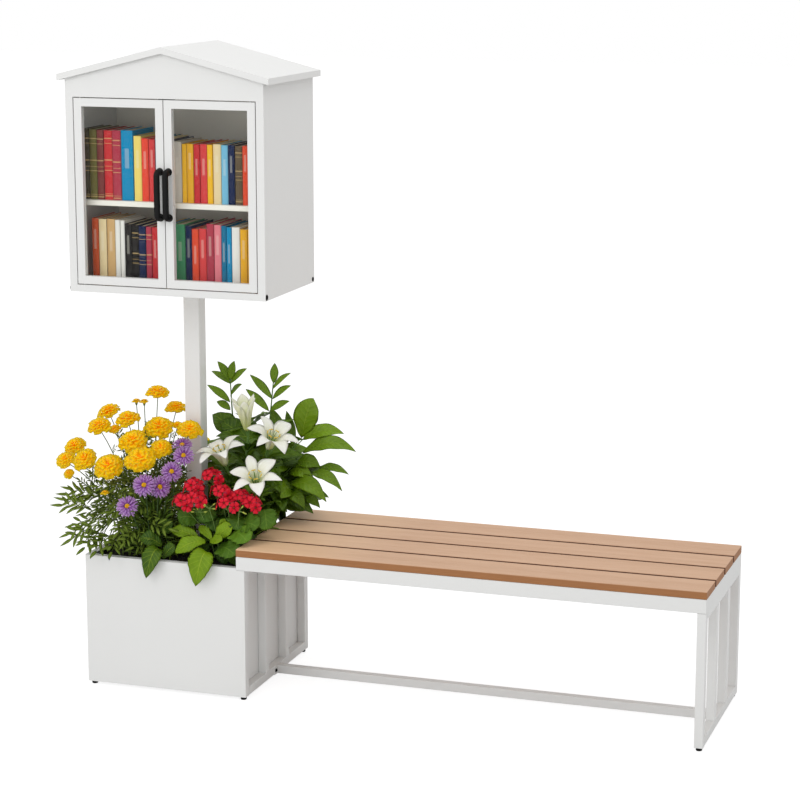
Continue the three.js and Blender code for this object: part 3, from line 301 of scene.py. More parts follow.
class Finish(Wiring):
    """The wiring of a new material."""

    def __init__(self, name):
        self.material = bpy.data.materials.new(name)
        self.material.use_nodes = True
        self.material.node_tree.nodes.clear()
        super().__init__(self.material.node_tree)

    def ended(self, surface):
        self.add("ShaderNodeOutputMaterial", {"Surface": surface})
        return self.material

    def finished(self, shade, roughness, bump, specular=0.5, more=None):
        """Ends in a Principled shader; bump is a height, its distance and its strength."""
        height, distance, strength = bump
        normal = self.add("ShaderNodeBump", {"Height": height, "Distance": distance, "Strength": strength})[0]
        inputs = {
            "Base Color": shade, "Roughness": roughness, "Normal": normal, "Specular IOR Level": specular
        }
        return self.ended(self.add("ShaderNodeBsdfPrincipled", {**inputs, **(more or {})})[0])


def opaque(shade):
    """A colour with full cover; a socket stays as it is."""
    return shade if isinstance(shade, bpy.types.NodeSocket) else (*tuple(shade)[:3], 1.0)


def node_group(kind, name, inputs):
    """The wiring and inputs of a new group; an input is given by its first value or its kind of socket."""
    tree = bpy.data.node_groups.new(name, kind)
    kinds = {float: "Float", int: "Int"}
    for title, value in inputs.items():
        kind = kinds.get(type(value), value)
        socket = tree.interface.new_socket(title, in_out="INPUT", socket_type=f"NodeSocket{kind}")
        if kind != value:
            socket.default_value = value
    wires = Wiring(tree)
    return wires, wires.add("NodeGroupInput")


def group_end(wires, kind, outputs):
    """Gives a group its outputs, all of one kind of socket."""
    for title in outputs:
        wires.tree.interface.new_socket(title, in_out="OUTPUT", socket_type=f"NodeSocket{kind}")
    wires.add("NodeGroupOutput", outputs)
    return wires.tree


def fine_texture_group():
    """Small bumps and slow colour drift, for coatings and mouldings."""
    inputs = {"Place": "Vector", "Grain": 800.0, "Drift": 3.0}
    wires, given = node_group("ShaderNodeTree", "fine_texture", inputs)
    scuffs = wires.noise(given["Place"], wires.times(given["Drift"], 9.0), 5.0, 0.7, 0.4)
    masks = {
        "Grain height": wires.noise(given["Place"], given["Grain"], 2.0, 0.6),
        "Drift mask": wires.noise(given["Place"], given["Drift"], 3.0, 0.55),
        "Wear mask": wires.spread(scuffs, 0.0, 1.0, 0.45, 0.75),
    }
    return group_end(wires, "Float", masks)


# How far behind the back panel's outer face the inner coating starts; the inner coating is painted light, a
# lighter and warmer copy of the white inside the cabinet
inner_skin = 0.0005


def coated_steel(name, shade, texture, grain_size, roughness=0.38, specular=0.45, outer=None):
    """Powder-coated steel with a faint orange peel; outer is the colour on the back panel's outer face."""
    wires = Finish(name)
    place = wires.place()
    parts = wires.group(texture, {"Place": place, "Grain": 1.0 / grain_size, "Drift": 2.5})
    coat = wires.mix(parts["Drift mask"], shade, [value * 0.965 for value in shade])
    # With outer given, the shade is painted light inside the cabinet, and the back panel's outer face keeps
    # the plain coating
    if outer:
        back_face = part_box("cabinet_back")[0].y + inner_skin
        coat = wires.mix(wires.math("GREATER_THAN", wires.axes(place)["Y"], back_face), coat, outer)
    rough = wires.spread(parts["Wear mask"], roughness, roughness + 0.1)
    return wires.finished(coat, rough, (parts["Grain height"], 0.00005, 0.5), specular)


def board(name, settings):
    """Wood-look composite board: a pale brushed top with fine grain and a painted sheen towards its left end,
    sides darker partly in their own colour and partly by painted shade, and painted shade on the sides in a
    gap.
    """
    wires = Finish(name)
    place = wires.place()
    axes = wires.axes(place)
    along = wires.stretched(place, (0.02, 1.0, 1.0))
    grain = wires.spread(wires.noise(along, 1.0 / settings.grain_width, 3.0, 0.6, 0.1), 0.0, 1.0, 0.34, 0.72)
    broad = wires.spread(wires.noise(along, 22.0, 2.0, 0.5, 0.1), 0.0, 0.6, 0.4, 0.75)
    top = wires.mix(grain, settings.grain_colour, settings.top_colour)
    top = wires.mix(broad, top, [min(1.0, value * 1.08) for value in settings.top_colour])
    low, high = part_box("seat_slat_1")
    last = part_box("seat_slat_4")[1].y
    # Painted sheen: the tops are mixed towards a lighter, warmer colour near the slats' left end
    painted_sheen = wires.spread(axes["X"], 0.6, 0.0, low.x, low.x + settings.painted_sheen_length)
    top = wires.mix(painted_sheen, top, settings.painted_sheen_colour)
    # The sides' colour is partly their own and partly painted shade
    edge = wires.mix(grain, settings.edge_colour_and_shade, [value * 1.2 for value in settings.edge_colour_and_shade])
    facing = wires.axes(wires.add("ShaderNodeNewGeometry")["Normal"])
    # Painted shade: the long sides that face a gap between slats are darkened; the seat's two outer sides
    # keep the side colour
    long_side = wires.math("GREATER_THAN", wires.math("ABSOLUTE", facing["Y"]), 0.5)
    half_seat = (last - low.y) / 2 - settings.outer_skin
    between = wires.math("COMPARE", axes["Y"], (low.y + last) / 2, half_seat)
    edge = wires.mix(wires.times(long_side, between), edge, settings.painted_gap_shade)
    side = wires.spread(axes["Z"], 1.0, 0.0, high.z - settings.side_start, high.z - settings.side_end)
    return wires.finished(wires.mix(side, top, edge), wires.spread(grain, 0.62, 0.48), (grain, 0.00012, 0.6))


def pane(name):
    """Clear window glass that lets the light of the lamps through."""
    wires = Finish(name)
    tint = (0.99, 1.0, 0.995, 1.0)
    inputs = {"Base Color": tint, "Roughness": 0.02, "IOR": 1.2, "Transmission Weight": 1.0}
    glass = wires.add("ShaderNodeBsdfPrincipled", inputs)[0]
    clear = wires.add("ShaderNodeBsdfTransparent", {"Color": tint})[0]
    return wires.ended(wires.blend(wires.rays("Shadow", "Diffuse"), glass, clear))


# objects and meshes


def finish_nodes(names, material):
    """Gives carried-over CAD nodes a new finish."""
    for name in names:
        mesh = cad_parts[name].data
        mesh.materials.clear()
        mesh.materials.append(material)


def mesh_piece(name, mesh, body="root", replaces=()):
    """Links a finished mesh as one piece that rides on a CAD body."""
    mesh.name = name
    piece = bpy.data.objects.new(name, mesh)
    bpy.context.scene.collection.objects.link(piece)
    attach(piece, body)
    if replaces:
        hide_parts(*replaces)


# geometry trees


def real_end(wires, given, title, shape):
    """Ends a geometry tree: its copies are made real, in the tree's own finish."""
    real = wires.add("GeometryNodeRealizeInstances", {"Geometry": shape})[0]
    made = wires.add("GeometryNodeSetMaterial", {"Geometry": real, "Material": given["Finish"]})[0]
    return group_end(wires, "Geometry", {title: made})


def copies(wires, points, shape, turn, size):
    """Copies of an object on points, each with its own turn and size."""
    inputs = {
        "Points": points,
        "Instance": wires.add("GeometryNodeObjectInfo", {"Object": shape})["Geometry"],
        "Rotation": wires.add("FunctionNodeEulerToRotation", {"Euler": turn})[0],
        "Scale": size,
    }
    return wires.add("GeometryNodeInstanceOnPoints", inputs)[0]


def tube_tree():
    """A round tube along each line of a mesh, from one thickness to another."""
    inputs = {
        "Lines": "Geometry", "Start radius": 0.002, "End radius": 0.002, "Sides": 6, "Finish": "Material"
    }
    wires, given = node_group("GeometryNodeTree", "tube_along_line", inputs)
    curve = wires.add("GeometryNodeMeshToCurve", {"Mesh": given["Lines"]})[0]
    along = wires.add("GeometryNodeSplineParameter")["Factor"]
    radius = wires.spread(along, given["Start radius"], given["End radius"])
    ring = wires.add("GeometryNodeCurvePrimitiveCircle", {"Resolution": given["Sides"], "Radius": 1.0})[0]
    inputs = {"Curve": curve, "Profile Curve": ring, "Scale": radius, "Fill Caps": True}
    tube = wires.add("GeometryNodeCurveToMesh", inputs)[0]
    smooth = wires.add("GeometryNodeSetShadeSmooth", {"Geometry": tube})[0]
    return real_end(wires, given, "Tubes", smooth)


def set_out_tree():
    """Sets out copies of a shape on the points of a mesh, by the points' own turn and size."""
    inputs = {"Places": "Geometry", "Shape": "Object", "Finish": "Material"}
    wires, given = node_group("GeometryNodeTree", "set_out_copies", inputs)
    turn = wires.add("GeometryNodeInputNamedAttribute", {"Name": "turn"}, data_type="FLOAT_VECTOR")[0]
    size = wires.add("GeometryNodeInputNamedAttribute", {"Name": "size"}, data_type="FLOAT")[0]
    return real_end(wires, given, "Copies", copies(wires, given["Places"], given["Shape"], turn, size))


def whorl_tree():
    """Petals round a flower's axis, each a fixed turn on from the last, from the middle out to the rim."""
    inputs = {
        "Start": "Geometry", "Petal": "Object", "Petals": 60, "Seed": 1, "Turn step": golden_angle,
        "Inner radius": 0.0, "Outer radius": 0.01, "Crown height": 0.01, "Inner pitch": 1.2,
        "Outer pitch": 0.0, "Inner size": 0.5, "Outer size": 1.0, "Unevenness": 0.1, "Finish": "Material",
    }
    wires, given = node_group("GeometryNodeTree", "petal_whorl", inputs)
    index = wires.add("GeometryNodeInputIndex")[0]
    share = wires.math("SQRT", wires.math("DIVIDE", wires.plus(index, 0.5), given["Petals"]))

    def jitter(offset):
        inputs = {2: -1.0, 3: 1.0, "Seed": wires.plus(given["Seed"], offset)}
        uneven = wires.add("FunctionNodeRandomValue", inputs, data_type="FLOAT")[1]
        return wires.times(uneven, given["Unevenness"])

    def outward(what):
        return wires.spread(share, given[f"Inner {what}"], given[f"Outer {what}"])

    angle = wires.plus(wires.times(index, given["Turn step"]), jitter(0))
    radius = outward("radius")
    height = wires.times(given["Crown height"], wires.minus(1.0, wires.math("POWER", share, 2.0)))
    across, back = (wires.times(radius, wires.math(name, angle)) for name in ("COSINE", "SINE"))
    pitch = wires.plus(outward("pitch"), jitter(11))
    turn = wires.vector(jitter(23), wires.times(pitch, -1.0), angle)
    size = wires.times(outward("size"), wires.plus(1.0, jitter(37)))
    place = wires.vector(across, back, height)
    points = wires.add("GeometryNodePoints", {"Count": given["Petals"], "Position": place})[0]
    return real_end(wires, given, "Flower", copies(wires, points, given["Petal"], turn, size))


golden_angle = math.pi * (3 - math.sqrt(5))
trees = {}


def tree_named(name):
    """Each node group is built once, when it is first needed."""
    makers = {"tube": tube_tree, "copies": set_out_tree, "whorl": whorl_tree, "veins": vein_group}
    if name not in trees:
        trees[name] = makers[name]()
    return trees[name]


def grown(mesh, name, values):
    """Runs a geometry tree on a mesh and returns the result as a plain mesh."""
    tree = tree_named(name)
    holder = bpy.data.objects.new("holder", mesh)
    bpy.context.scene.collection.objects.link(holder)
    modifier = holder.modifiers.new("tree", "NODES")
    modifier.node_group = tree
    for item in tree.interface.items_tree:
        if item.in_out == "INPUT" and item.name in values:
            modifier[item.identifier] = values[item.name]
    depsgraph = bpy.context.evaluated_depsgraph_get()
    made = bpy.data.meshes.new_from_object(
        holder.evaluated_get(depsgraph), preserve_all_data_layers=True, depsgraph=depsgraph
    )
    bpy.data.objects.remove(holder)
    return made


def pattern(mesh):
    """A shape that a tree copies; it is never in the scene itself."""
    return bpy.data.objects.new("pattern", mesh)


def set_values(mesh, domain, columns):
    """Gives a mesh named values, from rows of title, kind, field and values."""
    for title, kind, field, values in columns:
        mesh.attributes.new(title, kind, domain).data.foreach_set(field, values)


def set_out(shape, places, material):
    """Copies of a shape at (place, turn, size, shade), as one mesh."""
    mesh = bpy.data.meshes.new("places")
    spots, turns, sizes, shades = zip(*places)
    mesh.from_pydata([tuple(spot) for spot in spots], [], [])
    turn_values = [value for turn in turns for value in turn]
    columns = [
        ("turn", "FLOAT_VECTOR", "vector", turn_values),
        ("size", "FLOAT", "value", sizes),
        ("shade", "FLOAT", "value", shades),
    ]
    set_values(mesh, "POINT", columns)
    return grown(mesh, "copies", {"Shape": shape, "Finish": material})


def tubes(lines, start_radius, end_radius, sides, material):
    """Round tubes along lists of points, as one mesh."""
    mesh = bpy.data.meshes.new("lines")
    points, edges = [], []
    for line in lines:
        first = len(points)
        points.extend(tuple(point) for point in line)
        edges.extend((first + step, first + step + 1) for step in range(len(line) - 1))
    mesh.from_pydata(points, edges, [])
    values = {"Start radius": start_radius, "End radius": end_radius, "Sides": sides, "Finish": material}
    return grown(mesh, "tube", values)


def merged(meshes):
    """Joins plain meshes into one and keeps their materials and attributes."""
    parts = [bpy.data.objects.new("part", mesh) for mesh in meshes]
    for part in parts:
        bpy.context.scene.collection.objects.link(part)
    with bpy.context.temp_override(
        active_object=parts[0], selected_objects=parts, selected_editable_objects=parts
    ):
        bpy.ops.object.join()
    mesh = parts[0].data
    bpy.data.objects.remove(parts[0])
    return mesh


# leaves and petals


def smooth_line(stations, at):
    """A smooth curve through (place, value) stations, read at the given places."""
    places, values = (np.array(column, float) for column in zip(*stations))
    slopes = np.gradient(values, places)
    after = np.clip(np.searchsorted(places, at, side="right"), 1, len(places) - 1)
    before = after - 1
    gap = places[after] - places[before]
    share = (at - places[before]) / gap
    rest = 1 - share
    return (
        rest**2 * (1 + 2 * share) * values[before]
        + share**2 * (3 - 2 * share) * values[after]
        + rest**2 * share * gap * slopes[before]
        - share**2 * rest * gap * slopes[after]
    )


class Blade:
    """A thin closed leaf or petal, drawn flat: shares along it, and across and up in its own widths."""

    def __init__(
        self, outline, rows, columns, thickness, fold=0.0, cup=0.0, frill=(0, 0), teeth=(0, 0), notch=0.0
    ):
        stations = np.linspace(0.0, 1.0, rows)[1:] if notch else np.linspace(0.0, 1.0, rows + 1)[1:-1]
        half = np.maximum(smooth_line(outline, stations), 0.02) / 2
        depth, per_leaf = teeth
        half = half * (1 - depth * np.abs((stations * per_leaf) % 1.0 - 0.5) * 2)
        top = np.linspace(-1.0, 1.0, columns + 1)
        under = top[-2:0:-1]
        side = np.concatenate([top, under])
        below = np.concatenate([np.zeros(columns + 1), 1 - under**2 * 0.5])
        depth, waves = frill
        along, across, lift, uv = [np.zeros(1)], [np.zeros(1)], [np.zeros(1)], [np.array([[0.5, 0.0]])]
        for station, wide in zip(stations, half):
            out = side * wide
            wave = depth * wide * side**2 * np.sin(math.tau * waves * station + side * 2.0)
            along.append(np.full(len(side), station))
            across.append(out)
            lift.append(fold * np.abs(out) + cup * out**2 + wave - below * thickness)
            uv.append(np.column_stack([side / 2 + 0.5, np.full(len(side), station)]))
        self.along = np.concatenate([*along, [1.0 - notch]])
        self.across = np.concatenate([*across, [0.0]])
        self.lift = np.concatenate([*lift, [0.0]])
        self.uv = np.concatenate([*uv, [[0.5, 1.0]]])
        ring = len(side)
        last = len(self.along) - 1
        self.faces = []
        for step in range(ring):
            after = (step + 1) % ring
            self.faces.append((0, 1 + after, 1 + step))
            for row in range(len(stations) - 1):
                low, high = 1 + row * ring, 1 + (row + 1) * ring
                self.faces.append((low + step, low + after, high + after, high + step))
            end = 1 + (len(stations) - 1) * ring
            self.faces.append((last, end + step, end + after))

    def laid(self, start, middle, end, width, roll=0.0, across=None):
        """The blade's points when it is bent along a curve from start to end that leans towards middle."""
        start, middle, end = (np.array(point, float) for point in (start, middle, end))
        share = self.along[:, None]
        line = (1 - share) ** 2 * start + 2 * share * (1 - share) * middle + share**2 * end
        heading = 2 * (1 - share) * (middle - start) + 2 * share * (end - middle)
        heading /= np.linalg.norm(heading, axis=1)[:, None]
        if across is None:
            flat = end - start
            across = np.array([-flat[1], flat[0], 0.0])
        across = np.array(across, float) / np.linalg.norm(across)
        side = across - heading * (heading @ across)[:, None]
        side /= np.linalg.norm(side, axis=1)[:, None]
        up = np.cross(heading, side)
        out = side * math.cos(roll) + up * math.sin(roll)
        rise = up * math.cos(roll) - side * math.sin(roll)
        return line + width * (self.across[:, None] * out + self.lift[:, None] * rise)


class Growth:
    """Gathers bent blades into one mesh with UVs and a shade for each."""

    def __init__(self):
        self.points, self.faces, self.uvs, self.shades, self.count = [], [], [], [], 0

    def add(self, blade, points, shade=0.5):
        self.points.append(points)
        self.uvs.append(blade.uv)
        self.shades.append(np.full(len(points), shade))
        self.faces.extend(tuple(point + self.count for point in face) for face in blade.faces)
        self.count += len(points)

    def mesh(self, material):
        mesh = bpy.data.meshes.new("growth")
        mesh.from_pydata(np.concatenate(self.points).tolist(), [], self.faces)
        uvs = np.concatenate(self.uvs)
        corners = np.zeros(len(mesh.loops), np.int32)
        mesh.loops.foreach_get("vertex_index", corners)
        mesh.uv_layers.new(name="UVMap").data.foreach_set("uv", uvs[corners].ravel())
        set_values(mesh, "POINT", [("shade", "FLOAT", "value", np.concatenate(self.shades))])
        mesh.materials.append(material)
        mesh.shade_smooth()
        return mesh


def single_pattern(blade, size, width, rise, droop, material, middle=0.55):
    """A single petal or leaf along X, that rises in its middle and ends as high as its droop."""
    growth = Growth()
    points = [(0, 0, 0), (size * middle, 0, rise), (size, 0, droop)]
    growth.add(blade, blade.laid(*points, width, across=(0, 1, 0)))
    return pattern(growth.mesh(material))


# handles, feet and screws


def bow_line(x, front, low, high, reach, elbow):
    """The bent line of a bow handle: out from the door, up the grip and back to the door."""
    out = front - reach
    turns = [math.pi / 2 * step / 6 for step in range(7)]
    bends = [(elbow * (1 - math.sin(turn)), elbow * (1 - math.cos(turn))) for turn in turns]
    line = [(front, low), *((out + near, low + far) for near, far in bends)]
    line += [(out, low + (high - low) * share) for share in (0.25, 0.5, 0.75)]
    line += [*((out + far, high - near) for near, far in bends), (front, high)]
    return [Vector((x, y, z)) for y, z in line]


def ring(radius, height, sides, flats=0):
    """Points round Z, on a circle or on a polygon of so many flats; no radius gives one point."""
    if radius == 0:
        return [(0, 0, height)]
    points = []
    for step in range(sides):
        angle = math.tau * step / sides
        reach = radius
        if flats:
            half = math.pi / flats
            reach = radius * (math.cos(half) / math.cos(angle % (2 * half) - half))
        points.append((reach * math.cos(angle), reach * math.sin(angle), height))
    return points


def shell(rings, material):
    """A closed mesh through rings of points, each joined to the next."""
    mesh = bpy.data.meshes.new("shell")
    shape = bmesh.new()
    rows = [[shape.verts.new(point) for point in points] for points in rings]
    if len(rows[0]) > 1:
        shape.faces.new(rows[0][::-1])
        shape.faces.new(rows[-1])
    sides = len(rows[1])
    for low, high in zip(rows, rows[1:]):
        for step in range(sides):
            after = (step + 1) % sides
            corners = [low[step % len(low)], low[after % len(low)]]
            corners += [high[after % len(high)], high[step % len(high)]]
            shape.faces.new(list(dict.fromkeys(corners)))
    bmesh.ops.recalc_face_normals(shape, faces=shape.faces)
    shape.to_mesh(mesh)
    shape.free()
    mesh.materials.append(material)
    return mesh


def turned(profile, sides, material):
    """A smooth turned shape about Z from (radius, height) points that start and end on the axis."""
    mesh = shell([ring(radius, height, sides) for radius, height in profile], material)
    mesh.shade_smooth()
    return mesh


def socket_screw(radius, height):
    """A domed screw head with a six-sided socket, along Z from its seat."""
    sides = 24
    dome = [(1.0, 0.0), (1.0, 0.35), (0.86, 0.75), (0.62, 0.98), (0.5, 1.0)]
    rings = [ring(radius * out, height * up, sides) for out, up in dome]
    rings += [ring(radius * 0.42, height * up, sides, 6) for up in (1.0, 0.3)]
    return shell(rings, finishes["black"])


# books

cloth = {
    "dark olive": (74, 66, 46), "olive": (112, 106, 54), "maroon": (128, 58, 56), "red": (206, 46, 52),
    "crimson": (178, 56, 76), "blue": (0, 140, 190), "pale yellow": (248, 222, 118),
    "red-orange": (238, 74, 54), "scarlet": (220, 64, 66), "grey-white": (212, 206, 196),
    "yellow": (248, 190, 40), "cream": (238, 216, 168), "light blue": (120, 190, 222),
    "navy": (8, 30, 74), "brown-olive": (96, 80, 58), "rust": (200, 80, 36), "tan": (214, 174, 118),
    "white": (240, 238, 232), "black": (16, 12, 12), "green": (66, 148, 100), "pink": (232, 128, 140),
    "teal": (0, 112, 152), "gold": (240, 178, 40), "orange": (232, 76, 44),
}

# Each book is a width share, a height share, a cloth and a kind of spine
upper_books = [
    (22, 0.99, "dark olive", 1), (24, 0.985, "olive", 1), (21, 0.98, "maroon", 1), (27, 0.975, "red", 1),
    (27, 0.98, "crimson", 1), (38, 0.985, "blue", 2), (25, 0.91, "pale yellow", 2),
    (22, 0.88, "red-orange", 2), (20, 0.87, "scarlet", 2), (18, 0.89, "teal", 0), (17, 0.88, "cream", 0),
    (17, 0.86, "navy", 2), (28, 0.85, "grey-white", 2), (15, 0.82, "yellow", 0), (21, 0.825, "gold", 2),
    (19, 0.82, "red", 2), (22, 0.825, "scarlet", 2), (17, 0.82, "yellow", 2), (25, 0.83, "cream", 2),
    (21, 0.82, "light blue", 2), (20, 0.825, "navy", 2), (23, 0.815, "brown-olive", 1),
    (18, 0.82, "orange", 2), (28, 0.84, "green", 0), (25, 0.835, "rust", 0),
]
lower_books = [
    (22, 1.0, "rust", 2), (25, 0.995, "cream", 2), (26, 1.0, "tan", 2), (16, 0.99, "white", 2),
    (14, 0.985, "white", 0), (22, 0.94, "black", 2), (21, 0.93, "black", 1), (22, 0.92, "navy", 1),
    (18, 0.91, "crimson", 1), (19, 0.905, "red", 2), (19, 0.93, "brown-olive", 0), (17, 0.96, "cream", 0),
    (17, 0.965, "blue", 0), (31, 0.97, "green", 2), (20, 0.95, "navy", 2), (21, 0.91, "orange", 2),
    (23, 0.92, "scarlet", 2), (23, 0.99, "crimson", 2), (22, 0.98, "pink", 2), (16, 0.97, "teal", 2),
    (16, 0.955, "blue", 2), (25, 0.96, "white", 2), (22, 0.935, "gold", 2), (27, 0.94, "yellow", 2),
    (32, 0.96, "red", 0),
]


def paint(red, green, blue):
    """A colour from its 0 to 255 values on a screen."""
    shares = (value / 255 for value in (red, green, blue))
    return tuple(s / 12.92 if s <= 0.04045 else ((s + 0.055) / 1.055) ** 2.4 for s in shares)


def upright(start, end, low, high):
    """The corners of a wall between two places in plan, from one height to another."""
    return [(*start, low), (*end, low), (*end, high), (*start, high)]


class Shelf:
    """Gathers books into one mesh, with a cover colour and a spine kind for each face."""

    # Places in the UV map that lie off the spine: the covers' and the pages'
    cover_place, page_place = (2.0, 0.5), (3.0, 0.5)

    def __init__(self, settings):
        self.board, self.overhang = settings.board_thickness, settings.board_overhang
        self.bulge, self.shift = settings.spine_bulge, 0.0
        self.points, self.faces, self.uvs = [], [], []
        self.colours, self.kinds, self.shifts = [], [], []

    def face(self, points, uvs, shade, kind):
        first = len(self.points)
        self.points.extend(points)
        self.faces.append(tuple(range(first, first + len(points))))
        self.uvs.extend(uvs)
        self.colours.append(opaque(shade))
        self.kinds.append(kind)
        self.shifts.append(self.shift)

    def cover(self, outer, inner, low, high, shade, kind, spine_count):
        """A wall between two outlines in plan, from low to high; the first outer faces are the spine."""
        loop = outer + inner[::-1]
        for step, (start, end) in enumerate(zip(loop, loop[1:] + loop[:1])):
            left = right = self.cover_place[0]
            if 0 < step <= spine_count:
                left, right = (step - 1) / spine_count, step / spine_count
            uvs = [(left, 0.0), (right, 0.0), (right, 1.0), (left, 1.0)]
            self.face(upright(start, end, low, high), uvs, shade, kind)
        for quad in zip(outer, outer[1:], inner[1:], inner):
            for height, order in ((high, 1), (low, -1)):
                points = [(*place, height) for place in quad][::order]
                self.face(points, [self.cover_place] * 4, shade, kind)

    def pages(self, loop, low, high):
        """The block of pages between the covers."""
        paper, kind = paint(228, 214, 186), -1
        for start, end in zip(loop, loop[1:] + loop[:1]):
            self.face(upright(start, end, low, high), [self.page_place] * 4, paper, kind)
        for height, order in ((high, 1), (low, -1)):
            points = [(*place, height) for place in loop][::order]
            self.face(points, [self.page_place] * len(loop), paper, kind)

    def book(self, left, right, front, depth, base, tall, shade, kind):
        arc_steps, gap = 8, 0.0003
        middle, half = (left + right) / 2, (right - left) / 2 - gap
        inside, back = half - self.board, front + depth
        arc = []
        for step in range(arc_steps + 1):
            angle = math.pi * step / arc_steps
            bulge = front + self.bulge - self.bulge * math.sin(angle)
            arc.append((middle - half * math.cos(angle), bulge))
        inner_arc = [(middle + (x - middle) * inside / half, y + self.board) for x, y in arc]
        outer = [(middle - half, back), *arc, (middle + half, back)]
        inner = [(middle - inside, back), *inner_arc, (middle + inside, back)]
        self.cover(outer, inner, base, base + tall, shade, kind, arc_steps)
        back -= self.overhang
        loop = [(middle - inside, back), *inner_arc, (middle + inside, back)]
        self.pages(loop, base + self.overhang, base + tall - self.overhang)

    def mesh(self, material):
        mesh = bpy.data.meshes.new("books")
        mesh.from_pydata(self.points, [], self.faces)
        uvs = [value for pair in self.uvs for value in pair]
        mesh.uv_layers.new(name="UVMap").data.foreach_set("uv", uvs)
        columns = [
            ("cover", "FLOAT_COLOR", "color", [value for shade in self.colours for value in shade]),
            ("kind", "FLOAT", "value", self.kinds),
            ("shift", "FLOAT", "value", self.shifts),
        ]
        set_values(mesh, "FACE", columns)
        mesh.materials.append(material)
        return mesh


def spine_group():
    """Where a spine has its gilt lines, its blank title panel and the painted shade at its sides, from its UV
    map.
    """
    inputs = {"Place": "Vector", "Kind": 0.0, "Shift": 0.0}
    wires, given = node_group("ShaderNodeTree", "spine_bands", inputs)
    place = wires.axes(given["Place"])
    across, up = place["X"], place["Y"]
    on_spine = wires.math("LESS_THAN", across, 1.5)
    shifted = wires.plus(up, given["Shift"])
    # Each band is the place of its middle and half its width, as shares of the spine
    bands = (
        (0.04, 0.008), (0.07, 0.003), (0.41, 0.005), (0.47, 0.003), (0.56, 0.008), (0.8, 0.004), (0.87, 0.007)
    )
    gilt = 0.0
    for middle, half in bands:
        gilt = wires.math("MAXIMUM", gilt, wires.math("COMPARE", shifted, middle, half))
    leather, cloth_bound = (wires.math("COMPARE", given["Kind"], kind, 0.1) for kind in (1.0, 2.0))
    panel_up = wires.math("COMPARE", wires.plus(up, wires.times(given["Shift"], 3.0)), 0.66, 0.14)
    panel_across = wires.math("COMPARE", across, 0.5, 0.11)
    middle_out = wires.math("ABSOLUTE", wires.minus(across, 0.5))
    masks = {
        "Gilt mask": wires.times(gilt, leather, on_spine),
        "Panel mask": wires.times(panel_up, panel_across, cloth_bound, on_spine),
        # Painted shade: the spine darkens towards both sides, where it meets the next book
        "Joint mask": wires.times(wires.spread(middle_out, 0.0, 1.0, 0.34, 0.5), on_spine),
    }
    return group_end(wires, "Float", masks)


def book_cloth(name, gilt_colour):
    """Cloth and leather covers in each book's own colour, with gilt lines, blank panels, page edges and
    painted shade where the books meet.
    """
    wires = Finish(name)
    place = wires.place()
    cover, kind = wires.attribute("cover", "Color"), wires.attribute("kind")
    shift = wires.spread(wires.attribute("shift"), -0.02, 0.02)
    masks = wires.group(spine_group(), {"Place": wires.place("UV"), "Kind": kind, "Shift": shift})
    weave = wires.noise(place, 1400.0, 2.0, 0.6)
    rubbed = wires.noise(place, 90.0, 4.0, 0.65)
    leafs = wires.noise(wires.stretched(place, (1.0, 0.06, 0.06)), 2600.0, 2.0, 0.7)
    worn = wires.spread(wires.noise(place, 700.0, 2.0, 0.6), 0.25, 0.95, 0.35, 0.6)
    faded = wires.mix(0.4, cover, (0.9, 0.85, 0.75))
    shade = wires.mix(wires.spread(rubbed, 0.0, 0.16, 0.45, 0.85), cover, faded)
    shade = wires.mix(masks["Panel mask"], shade, wires.mix(0.22, cover, (0.95, 0.92, 0.8)))
    shade = wires.mix(wires.times(masks["Gilt mask"], worn), shade, gilt_colour)
    # Painted shade between the books: the spine's sides are mixed towards near black
    shade = wires.mix(wires.times(masks["Joint mask"], 0.75), shade, (0.012, 0.008, 0.006))
    page = wires.mix(wires.spread(leafs, 0.0, 1.0, 0.3, 0.7), (0.42, 0.33, 0.22), cover)
    shade = wires.mix(wires.math("LESS_THAN", kind, -0.5), shade, page)
    return wires.finished(shade, wires.spread(rubbed, 0.55, 0.8), (weave, 0.00008, 0.6), 0.12)


# plant finishes


def vein_group():
    """A midrib and curved side veins, drawn from a leaf's own UV map."""
    inputs = {"Place": "Vector", "Ribs": 9.0, "Slant": 1.6, "Midrib width": 0.07}
    wires, given = node_group("ShaderNodeTree", "leaf_veins", inputs)
    place = wires.axes(given["Place"])
    out_share = wires.times(wires.math("ABSOLUTE", wires.minus(place["X"], 0.5)), 2.0)
    midrib = wires.spread(out_share, 1.0, 0.0, 0.0, given["Midrib width"])
    slope = wires.times(wires.math("POWER", out_share, 0.8), given["Slant"])
    reach = wires.math("PINGPONG", wires.minus(wires.times(place["Y"], given["Ribs"]), slope), 0.5)
    vein = wires.spread(reach, 1.0, 0.0, 0.0, 0.09)
    field = wires.spread(reach, 0.0, 1.0, 0.0, 0.5)
    relief = wires.minus(wires.times(field, 0.6), wires.times(midrib, 0.8))
    return group_end(wires, "Float", {"Midrib mask": midrib, "Vein mask": vein, "Relief": relief})


def leaf_finish(name, pale, deep, vein, ribs=9.0, gloss=0.42, relief=0.0008, midrib=0.07):
    """A leaf between a pale and a deep green, with veins and a relief between them."""
    wires = Finish(name)
    inputs = {"Place": wires.place("UV"), "Ribs": ribs, "Midrib width": midrib}
    masks = wires.group(tree_named("veins"), inputs)
    patches = wires.noise(wires.place(), 38.0, 3.0, 0.6)
    mottle = wires.noise(wires.place(), 320.0, 2.0, 0.6)
    # The shade attribute sets each leaf's paleness; for canopy leaves it is partly painted shade, lower
    # deeper in the plant
    tone = wires.plus(wires.times(wires.attribute("shade"), 0.7), wires.spread(patches, -0.1, 0.4))
    shade = wires.mix(tone, deep, pale)
    for mask, share in (("Vein mask", 0.26), ("Midrib mask", 0.5)):
        shade = wires.mix(wires.times(masks[mask], share), shade, vein)
    shade = wires.mix(wires.spread(mottle, 0.0, 0.25, 0.45, 0.8), shade, deep)
    rough = wires.spread(mottle, gloss, gloss + 0.16)
    return wires.finished(shade, rough, (masks["Relief"], relief, 0.8), 0.25)


